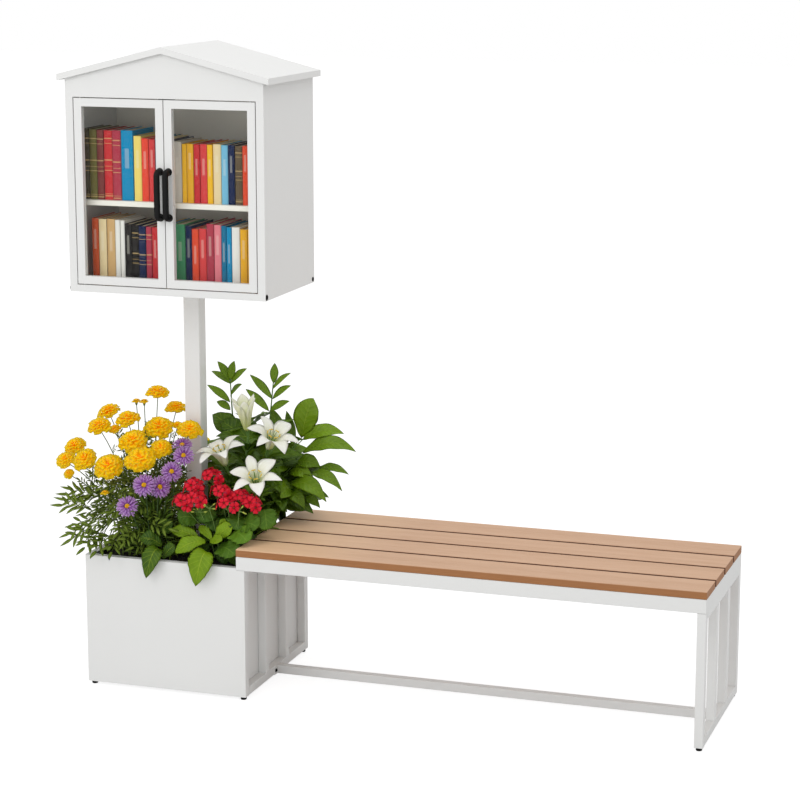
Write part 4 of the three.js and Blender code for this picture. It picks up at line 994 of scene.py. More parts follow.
def petal_finish(
    name, root, middle, tip, streaks, streak_share, gloss=0.6, relief=0.0003, glow=0.5, light=0.0
):
    """A thin petal from its root colour to its tip colour, with fine streaks and light through it; light is
    the strength of a painted glow, an emission in the petal's own colour.
    """
    wires = Finish(name)
    uv = wires.place("UV")
    lines = wires.noise(wires.stretched(uv, (streaks, 1.2, 1.0)), 1.0)
    patches = wires.noise(wires.place(), 60.0)
    shade = wires.stops(wires.axes(uv)["Y"], (0.0, root), (0.45, middle), (1.0, tip))
    streak = wires.times(wires.spread(lines, 0.0, 1.0, 0.42, 0.62), streak_share)
    shade = wires.mix(streak, shade, root)
    tone = wires.plus(wires.attribute("shade"), wires.spread(patches, -0.25, 0.25))
    shade = wires.mix(wires.spread(tone, 0.0, 0.35, 0.4, 1.0), shade, tip)
    # The emission is painted light: the petal glows in its own colour by the given strength
    more = {
        "Subsurface Weight": glow, "Subsurface Radius": (1.0, 1.0, 1.0), "Subsurface Scale": 0.004,
        "Emission Color": shade, "Emission Strength": light,
    }
    rough = wires.spread(lines, gloss - 0.06, gloss + 0.08)
    return wires.finished(shade, rough, (lines, relief, 0.6), 0.2, more)


def stem_finish(name, pale, deep):
    """Green stems with fine ridges."""
    wires = Finish(name)
    ridges = wires.noise(wires.stretched(wires.place(), (1.0, 1.0, 0.1)), 900.0)
    shade = wires.mix(wires.noise(wires.place(), 30.0, 3.0), deep, pale)
    return wires.finished(shade, wires.spread(ridges, 0.5, 0.68), (ridges, 0.0002, 0.5))


def crumbly_soil(name, dark, light):
    """Dark potting soil with crumbs and lighter lumps."""
    wires = Finish(name)
    crumbs = wires.add("ShaderNodeTexVoronoi", {"Vector": wires.place(), "Scale": 190.0})["Distance"]
    lumps = wires.noise(wires.place(), 70.0, 5.0, 0.7)
    shade = wires.mix(wires.spread(lumps, 0.0, 1.0, 0.35, 0.75), dark, light)
    height = wires.plus(wires.times(crumbs, -0.6), lumps)
    return wires.finished(shade, wires.spread(crumbs, 0.85, 0.98), (height, 0.004, 1.0))


# places in the planting


def planting(step):
    """The planting's settings, and the chance that a kind of plant draws from."""
    settings = bpy.context.scene.bench_planting
    return settings, random.Random(settings.seed + step)


def reach_of(shares):
    """A size, from shares of the planter's width and depth and of the bloom height."""
    settings = bpy.context.scene.bench_planting
    sizes = (settings.planter_width, settings.planter_depth, settings.bloom_height)
    return Vector(size * share for size, share in zip(sizes, shares))


def planted(shares):
    """A place in the planting, from such shares, above the planter's rim."""
    settings = bpy.context.scene.bench_planting
    across, back, up = shares
    height = settings.rim_height + settings.bloom_height * up
    return corner + Vector((settings.planter_width * across, settings.planter_depth * back, height))


def turn_of(x, y):
    """The turn that lays a shape's X and Y along two directions."""
    return Matrix((x, y, x.cross(y))).transposed()


def leaf_turn(direction, roll):
    """The turn that lays a shape's X along a direction, with its Z as far up as it goes but for the roll."""
    x = direction.normalized()
    y = upwards.cross(x).normalized()
    return tuple((turn_of(x, y) @ Matrix.Rotation(roll, 3, "X")).to_euler())


def face_on(direction, face):
    """The turn that lays a shape's X along a direction and its Z towards a side."""
    x = direction.normalized()
    return tuple(turn_of(x, face.cross(x).normalized()).to_euler())


def face_turn(direction, spin=0.0):
    """The turn that points a flower's Z along a direction."""
    turn = Vector(direction).to_track_quat("Z", "Y") @ Quaternion((0, 0, 1), spin)
    return tuple(turn.to_euler())


def bend_line(start, end, lift, sway, steps=8):
    """Points along a stem that leaves the ground nearly upright and leans to its flower."""
    middle = Vector((start.x + (end.x - start.x) * sway, start.y + (end.y - start.y) * sway, 0))
    middle.z = start.z + (end.z - start.z) * lift
    shares = [step / steps for step in range(steps + 1)]
    return [start * (1 - t) ** 2 + middle * (2 * t * (1 - t)) + end * t**2 for t in shares]


def rooted(root, place, foot, share, lift, sway, steps=8):
    """A stem to a flower's foot, from between the plant's root and the ground under the flower's place."""
    start = root.lerp(Vector((place.x, place.y, root.z)), share)
    return bend_line(start, foot, lift, sway, steps)


def any_way(chance, back, up):
    """A direction by chance: any way across, and between limits to the back and up."""
    return Vector((chance.uniform(-1, 1), chance.uniform(*back), chance.uniform(*up))).normalized()


def flower_place(chance, place, way, smallest, largest):
    """A flower's place, its turn round the way it faces, its size and its shade."""
    turn = face_turn(way, chance.uniform(0, math.tau))
    return place, turn, chance.uniform(smallest, largest), chance.random()


upwards = Vector((0, 0, 1))
# The side of the planting that is seen from the path in front
near_side = Vector((0.3, -0.75, 0.6))
# How far a leaf's tip may stand past the solids' own box
leaf_overhang = 0.016
# How far the planting keeps off the seat, and off the sheets and tubes that it rests against
seat_clearance, leaf_gap = 0.012, 0.0008
# How far inside the planter's wall, and up to what height over its rim, low sprays stay
wall_margin, rim_margin = 0.006, 0.02


def keep_clear(mesh):
    """Pushes what grows out of the post, the planter's walls and the bench, as leaves rest against them."""
    points = np.zeros(len(mesh.vertices) * 3, np.float32)
    mesh.vertices.foreach_get("co", points)
    points = points.reshape(-1, 3)
    x, y, z = points.T

    low, high = (np.array(point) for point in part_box("post"))
    low, high = low - leaf_gap, high + leaf_gap
    inside = np.all((points[:, :2] > low[:2]) & (points[:, :2] < high[:2]), axis=1) & (z < high[2])
    nearest = np.stack([x - low[0], high[0] - x, y - low[1], high[1] - y]).argmin(axis=0)
    for side, (places, value) in enumerate([(x, low[0]), (x, high[0]), (y, low[1]), (y, high[1])]):
        places[inside & (nearest == side)] = value

    seat_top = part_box("seat_slat_1")[1].z + leaf_gap
    bench_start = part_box("left_front_leg")[0].x - leaf_gap
    low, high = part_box("planter_shell")
    deep = (y > low.y - leaf_gap) & (y < high.y + leaf_gap)
    under = deep & (x > bench_start) & (z < seat_top)
    sunk, past = seat_top - z, x - bench_start
    z[under & (sunk <= past)] = seat_top
    x[under & (sunk > past)] = bench_start

    rim_top = high.z + leaf_gap
    rim = bpy.context.scene.bench_planting.rim_width + leaf_gap
    over = deep & (x > low.x - leaf_gap) & (x <= bench_start) & (z < rim_top)
    bed = (x > low.x + rim) & (y > low.y + rim) & (y < high.y - rim)
    z[over & ~bed] = rim_top

    low, high = (np.array(point) for point in cad_box)
    points = np.clip(points, low - leaf_overhang, high + leaf_overhang)
    mesh.vertices.foreach_set("co", points.ravel())
    mesh.update()


def plant_piece(name, mesh, replaces=()):
    keep_clear(mesh)
    mesh_piece(name, mesh, "root", replaces)


# Places as shares of the planter's width and depth and of the bloom height above its rim
marigold_root, marigold_reach = (0.2, 0.5, 0.0), (0.37, 0.54, 0.62)
# Each head is a place and a size
marigold_heads = [
    ((0.23, 0.55, 0.91), 0.96), ((0.3, 0.65, 0.8), 0.8), ((-0.05, 0.47, 0.79), 0.92),
    ((-0.04, 0.31, 0.73), 0.95), ((0.11, 0.39, 0.77), 0.92), ((0.31, 0.39, 0.73), 1.1),
    ((0.52, 0.35, 0.74), 1.0), ((0.21, 0.24, 0.67), 1.1), ((0.39, 0.24, 0.64), 0.86),
    ((-0.2, 0.31, 0.59), 0.88), ((-0.21, 0.2, 0.53), 0.76), ((-0.07, 0.18, 0.55), 0.98),
    ((0.11, 0.12, 0.53), 1.14), ((0.31, 0.12, 0.59), 1.15), ((0.1, 0.78, 0.62), 1.0),
    ((0.34, 0.86, 0.55), 0.9), ((0.04, 0.35, 0.71), 0.5), ((-0.18, 0.18, 0.45), 0.42),
    ((0.4, 0.45, 0.74), 0.4),
]
marigold_buds = [(0.11, 0.51, 0.86), (0.18, 0.47, 0.87), (0.11, 0.06, 0.38)]
marigold_sprays = [
    ((0.06, 0.2, 0.24), (-0.21, 0.12, 0.27)), ((0.08, 0.2, 0.2), (-0.13, 0.06, 0.07)),
    ((0.1, 0.2, 0.15), (0.02, -0.05, 0.065)), ((0.14, 0.2, 0.14), (0.1, -0.06, 0.055)),
    ((0.17, 0.2, 0.15), (0.2, -0.06, 0.06)), ((0.06, 0.3, 0.28), (-0.21, 0.2, 0.32)),
    ((0.06, 0.5, 0.22), (-0.17, 0.55, 0.2)), ((0.06, 0.7, 0.2), (-0.12, 0.8, 0.12)),
    ((0.15, 0.8, 0.2), (0.12, 1.03, 0.14)), ((0.25, 0.8, 0.2), (0.35, 1.02, 0.2)),
]
aster_root, aster_reach = (0.36, 0.16, 0.0), (0.24, 0.19, 0.52)
aster_heads = [
    ((0.51, 0.27, 0.66), (0.1, -0.35, 0.9)), ((0.54, 0.22, 0.61), (0.25, -0.75, 0.6)),
    ((0.49, 0.16, 0.52), (0.3, -0.8, 0.5)), ((0.36, 0.06, 0.45), (0.2, -0.85, 0.5)),
    ((0.43, 0.12, 0.43), (0.5, -0.75, 0.35)), ((0.27, 0.02, 0.32), (0.15, -0.85, 0.55)),
]
geranium_root, geranium_reach = (0.82, 0.3, 0.0), (0.2, 0.16, 0.36)
geranium_heads = [
    (0.71, 0.24, 0.48), (0.63, 0.17, 0.43), (0.59, 0.1, 0.35), (0.66, 0.12, 0.37), (0.8, 0.16, 0.41),
    (0.86, 0.11, 0.355), (0.91, 0.18, 0.39), (0.98, 0.18, 0.35),
]
geranium_buds = [(0.75, 0.09, 0.33), (0.935, 0.09, 0.33), (0.69, 0.1, 0.3)]
# Each leaf is where it starts, where it ends and how pale it is
geranium_leaves = [
    ((0.65, 0.16, 0.23), (0.54, 0.12, 0.24), 0.3), ((0.87, 0.14, 0.18), (1.0, 0.06, 0.15), 0.9),
    ((0.92, 0.16, 0.225), (1.03, 0.14, 0.22), 0.5), ((0.8, 0.1, 0.09), (0.94, 0.02, 0.07), 0.4),
    ((1.03, 0.24, 0.31), (1.07, 0.18, 0.2), 0.5), ((0.9, 0.2, 0.26), (0.9, 0.12, 0.2), 0.2),
    ((0.75, 0.2, 0.25), (0.77, 0.16, 0.17), 0.1), ((0.74, 0.18, 0.3), (0.68, 0.12, 0.24), 0.2),
    ((0.66, 0.2, 0.3), (0.73, 0.14, 0.22), 0.0),
]
lily_root = (0.8, 0.42, 0.0)
lily_flowers = [
    ((0.745, 0.36, 0.53), (-0.22, -0.3, 0.93), 1.0), ((0.965, 0.47, 0.625), (0.42, -0.3, 0.86), 1.0),
    ((0.98, 0.25, 0.428), (0.14, -0.52, 0.84), 1.0), ((0.82, 0.51, 0.72), (-0.08, -0.1, 1.0), 0.3),
]
shrub_root, shrub_reach = (0.76, 0.78, 0.06), (0.42, 0.27, 0.68)
# Each leaf is where it starts, where it ends, its lift, its width and how pale it is
shrub_leaves = [
    ((1.03, 0.84, 0.62), (1.11, 0.84, 0.88), 0.1, 1.25, 0.9),
    ((1.04, 0.83, 0.61), (1.31, 0.82, 0.67), 0.1, 0.75, 1.0),
    ((1.05, 0.8, 0.53), (1.4, 0.78, 0.57), 0.16, 0.8, 0.8),
    ((1.16, 0.78, 0.45), (1.365, 0.75, 0.43), 0.06, 0.45, 0.6),
    ((1.02, 0.78, 0.47), (1.18, 0.76, 0.46), 0.06, 0.8, 0.6),
    ((1.11, 0.76, 0.41), (1.345, 0.69, 0.335), 0.12, 0.62, 0.7),
    ((0.98, 0.75, 0.41), (1.15, 0.72, 0.39), 0.08, 0.7, 0.9),
    ((1.0, 0.72, 0.35), (1.26, 0.65, 0.27), 0.14, 0.9, 0.8),
    ((0.87, 0.68, 0.27), (1.02, 0.64, 0.29), 0.08, 0.75, 0.7),
    ((1.0, 0.68, 0.29), (1.13, 0.63, 0.22), 0.1, 0.75, 0.5),
    ((1.1, 0.7, 0.27), (1.2, 0.7, 0.215), 0.05, 0.5, 0.4),
    ((0.88, 0.66, 0.22), (1.03, 0.6, 0.2), 0.06, 0.8, 0.1),
    ((0.66, 0.72, 0.62), (0.49, 0.76, 0.75), 0.06, 1.1, 0.2),
    ((0.71, 0.72, 0.6), (0.56, 0.71, 0.72), 0.06, 1.1, 0.1),
    ((0.92, 0.78, 0.6), (0.85, 0.82, 0.8), 0.03, 0.7, 0.3),
    ((0.98, 0.84, 0.56), (0.92, 0.88, 0.78), 0.03, 0.5, 0.3),
    ((0.8, 0.9, 0.4), (1.0, 1.04, 0.5), 0.1, 0.9, 0.7),
    ((0.7, 0.9, 0.4), (0.66, 1.06, 0.46), 0.1, 0.9, 0.6),
]
shoots = [((0.64, 0.78, 0.2), (0.6, 0.78, 1.0)), ((0.8, 0.78, 0.2), (0.88, 0.78, 1.0))]
shoot_leaves = [
    ((0.6, 0.78, 0.97), (0.63, 0.78, 1.1)), ((0.6, 0.78, 0.97), (0.52, 0.78, 1.09)),
    ((0.6, 0.78, 0.95), (0.72, 0.76, 1.06)), ((0.6, 0.78, 0.95), (0.47, 0.8, 1.02)),
    ((0.6, 0.78, 0.83), (0.44, 0.8, 0.93)), ((0.6, 0.78, 0.78), (0.51, 0.78, 0.83)),
    ((0.6, 0.78, 0.87), (0.69, 0.75, 0.96)), ((0.88, 0.78, 0.97), (0.885, 0.79, 1.1)),
    ((0.87, 0.78, 0.87), (0.71, 0.82, 1.01)), ((0.87, 0.78, 0.93), (1.0, 0.76, 1.05)),
    ((0.87, 0.78, 0.87), (1.0, 0.76, 0.97)), ((0.85, 0.78, 0.79), (0.69, 0.8, 0.92)),
    ((0.85, 0.78, 0.79), (0.99, 0.76, 0.87)),
]
rosette_leaves = [
    ((0.69, 0.1, 0.12), (0.5, 0.1, 0.17), 0.05, 0.6, 0.8),
    ((0.73, 0.09, 0.12), (0.56, 0.03, 0.05), 0.06, 0.7, 1.0),
    ((0.76, 0.11, 0.125), (0.66, 0.15, 0.2), 0.02, 0.42, 0.9),
    ((0.77, 0.11, 0.125), (0.885, 0.12, 0.22), 0.04, 0.68, 1.1),
    ((0.75, 0.09, 0.12), (0.85, 0.04, 0.15), 0.03, 0.5, 1.0),
    ((0.79, 0.14, 0.17), (0.83, 0.14, 0.26), 0.02, 0.32, 1.1),
    ((0.76, 0.06, 0.06), (0.72, -0.05, -0.12), 0.16, 1.0, 0.9),
    ((0.455, 0.08, 0.04), (0.41, -0.05, -0.1), 0.16, 0.78, 0.1),
    ((0.46, 0.08, 0.07), (0.34, 0.03, 0.12), 0.05, 0.7, -0.1),
    ((0.47, 0.05, 0.0), (0.55, 0.06, 0.09), 0.03, 0.52, 0.0),
    ((0.42, 0.12, 0.13), (0.51, 0.12, 0.21), 0.03, 0.58, -0.1),
]


def lay_leaf(growth, blade, base, tip, width, lift, shade, face=upwards):
    """A leaf from base to tip, arched by lift in its middle, with its upper side turned to face."""
    face = face.normalized()
    middle = (base + tip) / 2 + (face + upwards) * lift * 0.7
    growth.add(blade, blade.laid(base, middle, tip, width, across=face.cross(tip - base)), shade)


def over_seat(*points):
    """Whether a leaf would lie on the seat, where the real plants were kept off it."""
    low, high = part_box("seat_slat_1")
    return any(point.x > low.x - seat_clearance and point.z < high.z + seat_clearance for point in points)


def dome(chance, total):
    """Directions spread evenly over a plant's dome, from the ground up, each with its angle round it."""
    for index in range(total):
        up = (index + 0.5) / total
        angle = index * golden_angle + chance.uniform(-0.3, 0.3)
        flat = math.sqrt(1 - up * up)
        yield angle, Vector((flat * math.cos(angle), flat * math.sin(angle), up))


def canopy(chance, total, centre, reach, long, droop=0.7):
    """Leaves that overlap over a plant's dome and face outwards: base, tip and the way they face."""
    for angle, way in dome(chance, total):
        down = (way * way.z - upwards).normalized()
        if way.xy.length <= 0.2:
            down = Vector((math.cos(angle), math.sin(angle), 0))
        side = way.cross(down)
        swing = chance.uniform(-1.2, 1.2)
        aim = down * math.cos(swing) * droop + side * math.sin(swing) + way * chance.uniform(0.3, 0.9)
        half = aim.normalized() * long * chance.uniform(0.36, 0.56)
        middle = centre + way * reach * chance.uniform(0.8, 1.0)
        if not over_seat(middle - half, middle, middle + half):
            yield middle - half, middle + half, way


def through_wall(base, aim):
    """Whether a low spray would come out through the planter's sheet under its rim."""
    low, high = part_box("planter_shell")
    points = [base + aim * reach for reach in (0.06, 0.09, 0.12)]
    return any(
        (point.x < low.x + wall_margin or point.y < low.y + wall_margin) and point.z < high.z + rim_margin
        for point in points
    )


def spray_pattern(leaf_length, pairs, leaflet_length, leaflet_width, material):
    """A feathery leaf along X: pairs of narrow leaflets on a rib that bends down at its end."""
    blade = Blade([(0, 0.25), (0.3, 0.9), (0.6, 1.0), (1, 0.1)], 4, 2, 0.12, fold=0.25)
    growth = Growth()

    def rib(share):
        return np.array([leaf_length * share, 0.0, leaf_length * (0.16 * share - 0.3 * share**2)])

    for pair in range(pairs):
        share = 0.22 + 0.7 * pair / pairs
        size = leaflet_length * (1.05 - 0.45 * abs(share - 0.5))
        for side in (-1, 1):
            start = rib(share)
            way = np.array([0.72, side * 0.7, 0.12])
            end = start + way * size + np.array([0, 0, -size * 0.2])
            middle = start + way * size * 0.5
            growth.add(blade, blade.laid(start, middle, end, leaflet_width, roll=side * 0.2))
    end = rib(0.9) + np.array([leaflet_length * 0.95, 0, -0.006])
    growth.add(blade, blade.laid(rib(0.86), rib(0.95), end, leaflet_width))
    spine = Blade([(0, 1.0), (0.5, 0.8), (1, 0.4)], 5, 2, 0.8)
    middle = rib(0.45) + np.array([0, 0, 0.004])
    growth.add(spine, spine.laid(rib(0.0), middle, rib(0.92), leaflet_width * 0.22))
    return pattern(growth.mesh(material))


def whorled(petal, material, **sizes):
    """A flower of petals, as one plain mesh."""
    values = {title.replace("_", " ").capitalize(): value for title, value in sizes.items()}
    return grown(bpy.data.meshes.new("start"), "whorl", {"Petal": petal, "Finish": material, **values})


# the carried-over pieces

white_nodes = [
    "planter_shell", "planter_end_panel", "planter_floor", "post", "post_base_plate", "post_top_plate",
    "front_apron", "back_apron", "seat_bearer_1", "seat_bearer_2", "stretcher_plate", "floor_stretcher",
    "cabinet_left_side", "cabinet_right_side", "cabinet_floor", "cabinet_front_frame", "cabinet_roof",
]
twin_parts = ["top_rail", "front_leg", "back_leg", "bar_1", "bar_2", "bottom_rail", "door_frame"]
white_nodes += [f"{side}_{part}" for side in ("left", "right") for part in twin_parts]
foot_nodes = [f"planter_foot_{end}_{side}" for side in ("left", "right") for end in ("front", "back")]
foot_nodes += ["bench_foot_front", "bench_foot_back"]
bolt_nodes = ["stretcher_bolt_front", "stretcher_bolt_back"]
black_nodes = [*foot_nodes, "door_catch", *bolt_nodes, "left_door_handle", "right_door_handle"]
finishes = {}


# operators


class BENCH_OT_stage(bpy.types.Operator):
    """Sets the camera, the soft lights and the white floor"""

    bl_idname = "bench.stage"
    bl_label = "Stage"

    def execute(self, context):
        settings = context.scene.bench_stage
        scene = context.scene
        scene.view_settings.view_transform = "Standard"
        lens = bpy.data.cameras.new("photo_camera")
        lens.lens = settings.focal_length
        lens.sensor_width = 36.0
        lens.clip_start = 0.1
        lens.clip_end = 60.0
        camera = bpy.data.objects.new("photo_camera", lens)
        camera.location = corner + Vector(settings.camera_place)
        camera.rotation_euler = Euler(settings.camera_turn)
        scene.collection.objects.link(camera)
        scene.camera = camera
        scene.world = white_world(settings.fill_strength)
        power = settings.key_strength
        area_light("front_light", (-1.2, -3.4, 3.6), (0.55, 0.25, 0.7), 2.6, power)
        area_light("top_light", (1.2, 0.4, 4.2), (0.9, 0.25, 0.4), 3.0, power * 0.64)
        area_light("low_light", (0.5, -4.4, 1.2), (0.3, 0.3, 0.72), 2.2, power * 0.42)

        mesh = bpy.data.meshes.new("floor")
        size = 30.0
        points = [(-size, -size, 0.0), (size, -size, 0.0), (size, size, 0.0), (-size, size, 0.0)]
        mesh.from_pydata(points, [], [(0, 1, 2, 3)])
        floor = bpy.data.objects.new("floor", mesh)
        scene.collection.objects.link(floor)
        mesh.materials.append(white_floor())
        floor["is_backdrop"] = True
        return {"FINISHED"}


def white_world(strength):
    """Soft light from all round, in front of pure white."""
    world = bpy.data.worlds.new("white_room")
    world.use_nodes = True
    world.node_tree.nodes.clear()
    wires = Wiring(world.node_tree)
    bright = (1, 1, 1, 1)
    around = wires.add("ShaderNodeBackground", {"Color": bright, "Strength": strength})[0]
    white = wires.add("ShaderNodeBackground", {"Color": bright, "Strength": 1.0})[0]
    seen = wires.rays("Camera", "Transmission")
    wires.add("ShaderNodeOutputWorld", {"Surface": wires.blend(seen, around, white)})
    return world


def area_light(name, place, target_share, size, power):
    """A large soft lamp, from a place by the planter's corner to a share of the object's box."""
    data = bpy.data.lights.new(name, "AREA")
    data.shape = "DISK"
    data.size = size
    data.energy = power
    lamp = bpy.data.objects.new(name, data)
    low, high = cad_box
    target = Vector(low[axis] + (high[axis] - low[axis]) * target_share[axis] for axis in range(3))
    lamp.location = corner + Vector(place)
    lamp.rotation_euler = (target - (corner + Vector(place))).to_track_quat("-Z", "Y").to_euler()
    bpy.context.scene.collection.objects.link(lamp)


def white_floor():
    """White to the eye and under reflections, with the object's own soft shadow."""
    wires = Finish("white_floor")
    pale, shaded = (
        wires.add("ShaderNodeBsdfDiffuse", {"Color": (tone, tone, tone, 1.0)})[0] for tone in (0.8, 0.3)
    )
    white = wires.add("ShaderNodeEmission", {"Color": (1, 1, 1, 1), "Strength": 0.86})[0]
    bright = wires.add("ShaderNodeAddShader", {0: shaded, 1: white})[0]
    return wires.ended(wires.blend(wires.rays("Camera", "Transmission"), pale, bright))


class BENCH_OT_steel(bpy.types.Operator):
    """Powder-coats the planter, the post, the frame and the cabinet, and blackens the small parts"""

    bl_idname = "bench.steel"
    bl_label = "Coated steel"

    def execute(self, context):
        settings = context.scene.bench_steel
        texture, grain = fine_texture_group(), settings.grain_size
        shade, inner_painted_light = settings.coat_colour, settings.inner_painted_light_colour
        white = coated_steel("white_coating", shade, texture, grain)
        # The back panel and shelf get a lighter, warmer copy of the white inside the cabinet: painted light
        inner = coated_steel("inner_coating", inner_painted_light, texture, grain, outer=shade)
        finishes["black"] = coated_steel("black_parts", settings.black_colour, texture, grain, 0.6, 0.2)
        finish_nodes(white_nodes, white)
        finish_nodes(["cabinet_back", "cabinet_shelf"], inner)
        finish_nodes(black_nodes, finishes["black"])
        return {"FINISHED"}


class BENCH_OT_slats(bpy.types.Operator):
    """Gives the four seat slats their wood-look finish"""

    bl_idname = "bench.slats"
    bl_label = "Seat slats"

    def execute(self, context):
        finish = board("slat_board", context.scene.bench_slats)
        finish_nodes([f"seat_slat_{number}" for number in range(1, 5)], finish)
        return {"FINISHED"}


class BENCH_OT_glass(bpy.types.Operator):
    """Glazes both doors"""

    bl_idname = "bench.glass"
    bl_label = "Door glass"

    def execute(self, context):
        finish_nodes(["left_door_glass", "right_door_glass"], pane("clear_pane"))
        return {"FINISHED"}


class BENCH_OT_handles(bpy.types.Operator):
    """Puts a smooth black bow handle on each door"""

    bl_idname = "bench.handles"
    bl_label = "Door handles"

    def execute(self, context):
        settings = context.scene.bench_steel
        black, radius, foot = finishes["black"], settings.grip_radius, settings.grip_foot
        profile = [(0, 0), (foot, 0), (foot, 0.0026), (foot * 0.93, 0.0036), (foot * 0.8, 0.004), (0, 0.004)]
        for side in ("left", "right"):
            low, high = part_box(f"{side}_door_handle")
            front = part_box(f"{side}_door_frame")[0].y
            middle = (low.x + high.x) / 2
            reach = front - low.y - radius
            line = bow_line(middle, front, low.z + radius, high.z - radius, reach, settings.grip_bend)
            ends = [Vector((middle, front, end.z)) for end in (line[0], line[-1])]
            seats = [(end, (math.pi / 2, 0.0, 0.0), 1.0, 0.5) for end in ends]
            feet = set_out(pattern(turned(profile, 28, black)), seats, black)
            mesh = merged([tubes([line], radius, radius, 20, black), feet])
            mesh_piece(f"{side}_bow_handle", mesh, f"{side}_door", [f"{side}_door_handle"])
        return {"FINISHED"}


class BENCH_OT_feet(bpy.types.Operator):
    """Sets the six black glides under the planter and the bench"""

    bl_idname = "bench.feet"
    bl_label = "Feet"

    def execute(self, context):
        settings = context.scene.bench_steel
        low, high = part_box(foot_nodes[0])
        radius, top = settings.foot_radius, high.z - low.z
        shares = [(0, 0), (0.82, 0), (0.94, 0.08), (1.0, 0.25), (1.0, 0.72), (0.9, 0.98), (0.45, 0.98)]
        profile = [(radius * out, settings.foot_height * up) for out, up in shares]
        profile += [(radius * 0.45, top), (0, top)]
        places = []
        for name in foot_nodes:
            low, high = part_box(name)
            places.append((Vector(((low.x + high.x) / 2, (low.y + high.y) / 2, low.z)), (0, 0, 0), 1.0, 0.5))
        mesh = set_out(pattern(turned(profile, 28, finishes["black"])), places, finishes["black"])
        mesh_piece("glides", mesh, "root", foot_nodes)
        return {"FINISHED"}


class BENCH_OT_screws(bpy.types.Operator):
    """Sets the socket screws of the stretcher plate and the caps at the cabinet's lower corners"""

    bl_idname = "bench.screws"
    bl_label = "Screws"

    def execute(self, context):
        settings = context.scene.bench_steel
        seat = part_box("stretcher_plate")[1].x
        places = []
        for name in bolt_nodes:
            low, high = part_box(name)
            centre = Vector((seat, (low.y + high.y) / 2, (low.z + high.z) / 2))
            places.append((centre, (0.0, math.pi / 2, 0.0), 1.0, 0.5))
        head = pattern(socket_screw(settings.bolt_radius, settings.bolt_height))
        bolts = set_out(head, places, finishes["black"])
        mesh_piece("stretcher_screws", bolts, "root", bolt_nodes)
        radius = settings.cap_radius
        low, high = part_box("cabinet_front_frame")
        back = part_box("cabinet_right_side")[1].y - radius * 1.5
        places = []
        for face, sign in ((low.x, -1), (high.x, 1)):
            for place, size in ((low.y + radius, 1.0), (back, 0.82)):
                centre = Vector((face, place, low.z + radius * 1.2))
                places.append((centre, (0.0, sign * math.pi / 2, 0.0), size, 0.5))
        cap = pattern(socket_screw(radius, settings.cap_height))
        mesh_piece("cabinet_caps", set_out(cap, places, finishes["black"]))
        return {"FINISHED"}


class BENCH_OT_books(bpy.types.Operator):
    """Stands the books on both shelves, each with its own cover, pages and spine"""

    bl_idname = "bench.books"
    bl_label = "Books"

    def execute(self, context):
        settings = context.scene.bench_books
        material = book_cloth("book_covers", settings.gilt_colour)
        chance = random.Random(settings.seed)
        for row, books in (("upper", upper_books), ("lower", lower_books)):
            low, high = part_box(f"books_{row}_row")
            widths, heights, _, _ = zip(*books)
            shelf = Shelf(settings)
            left = low.x
            for width, height, shade, kind in books:
                right = left + (high.x - low.x) * width / sum(widths)
                step = chance.uniform(0.0, 0.003)
                shelf.shift = chance.random()
                tall = (high.z - low.z) * height / max(heights)
                depth = high.y - low.y - step - chance.uniform(0.0, 0.02)
                shelf.book(left, right, low.y + step, depth, low.z, tall, paint(*cloth[shade]), kind)
                left = right
            mesh_piece(f"{row}_books", shelf.mesh(material), "root", [f"books_{row}_row"])
        return {"FINISHED"}


class BENCH_OT_soil(bpy.types.Operator):
    """Gives the soil in the planter its dark crumbly finish"""

    bl_idname = "bench.soil"
    bl_label = "Soil"

    def execute(self, context):
        finish_nodes(["soil"], crumbly_soil("potting_soil", paint(18, 14, 11), paint(52, 40, 30)))
        return {"FINISHED"}


def ruffled_heads(settings, yellow):
    """Three marigold heads that differ a little, each on its own heart."""
    radius = settings.marigold_radius
    outline = [(0, 0.3), (0.35, 0.7), (0.7, 1.0), (1, 0.8)]
    blade = Blade(outline, 5, 4, 0.03, fold=0.04, frill=(0.07, 1.0), notch=0.1)
    petal = single_pattern(blade, radius * 0.8, radius * 0.78, radius * 0.22, -radius * 0.05, yellow)
    heart = [(0, -0.1), (0.4, -0.02), (0.42, 0.1), (0.3, 0.28), (0.12, 0.36), (0, 0.37)]
    heart = [(out * radius, up * radius) for out, up in heart]
    heads = []
    for seed in (1, 8, 15):
        petals = whorled(
            petal, yellow, petals=settings.marigold_petals, seed=seed, outer_radius=radius * 0.3,
            crown_height=radius * 0.26, inner_pitch=1.15, outer_pitch=-0.12, inner_size=0.45, unevenness=0.08,
        )
        heads.append(pattern(merged([petals, turned(heart, 12, yellow)])))
    return heads


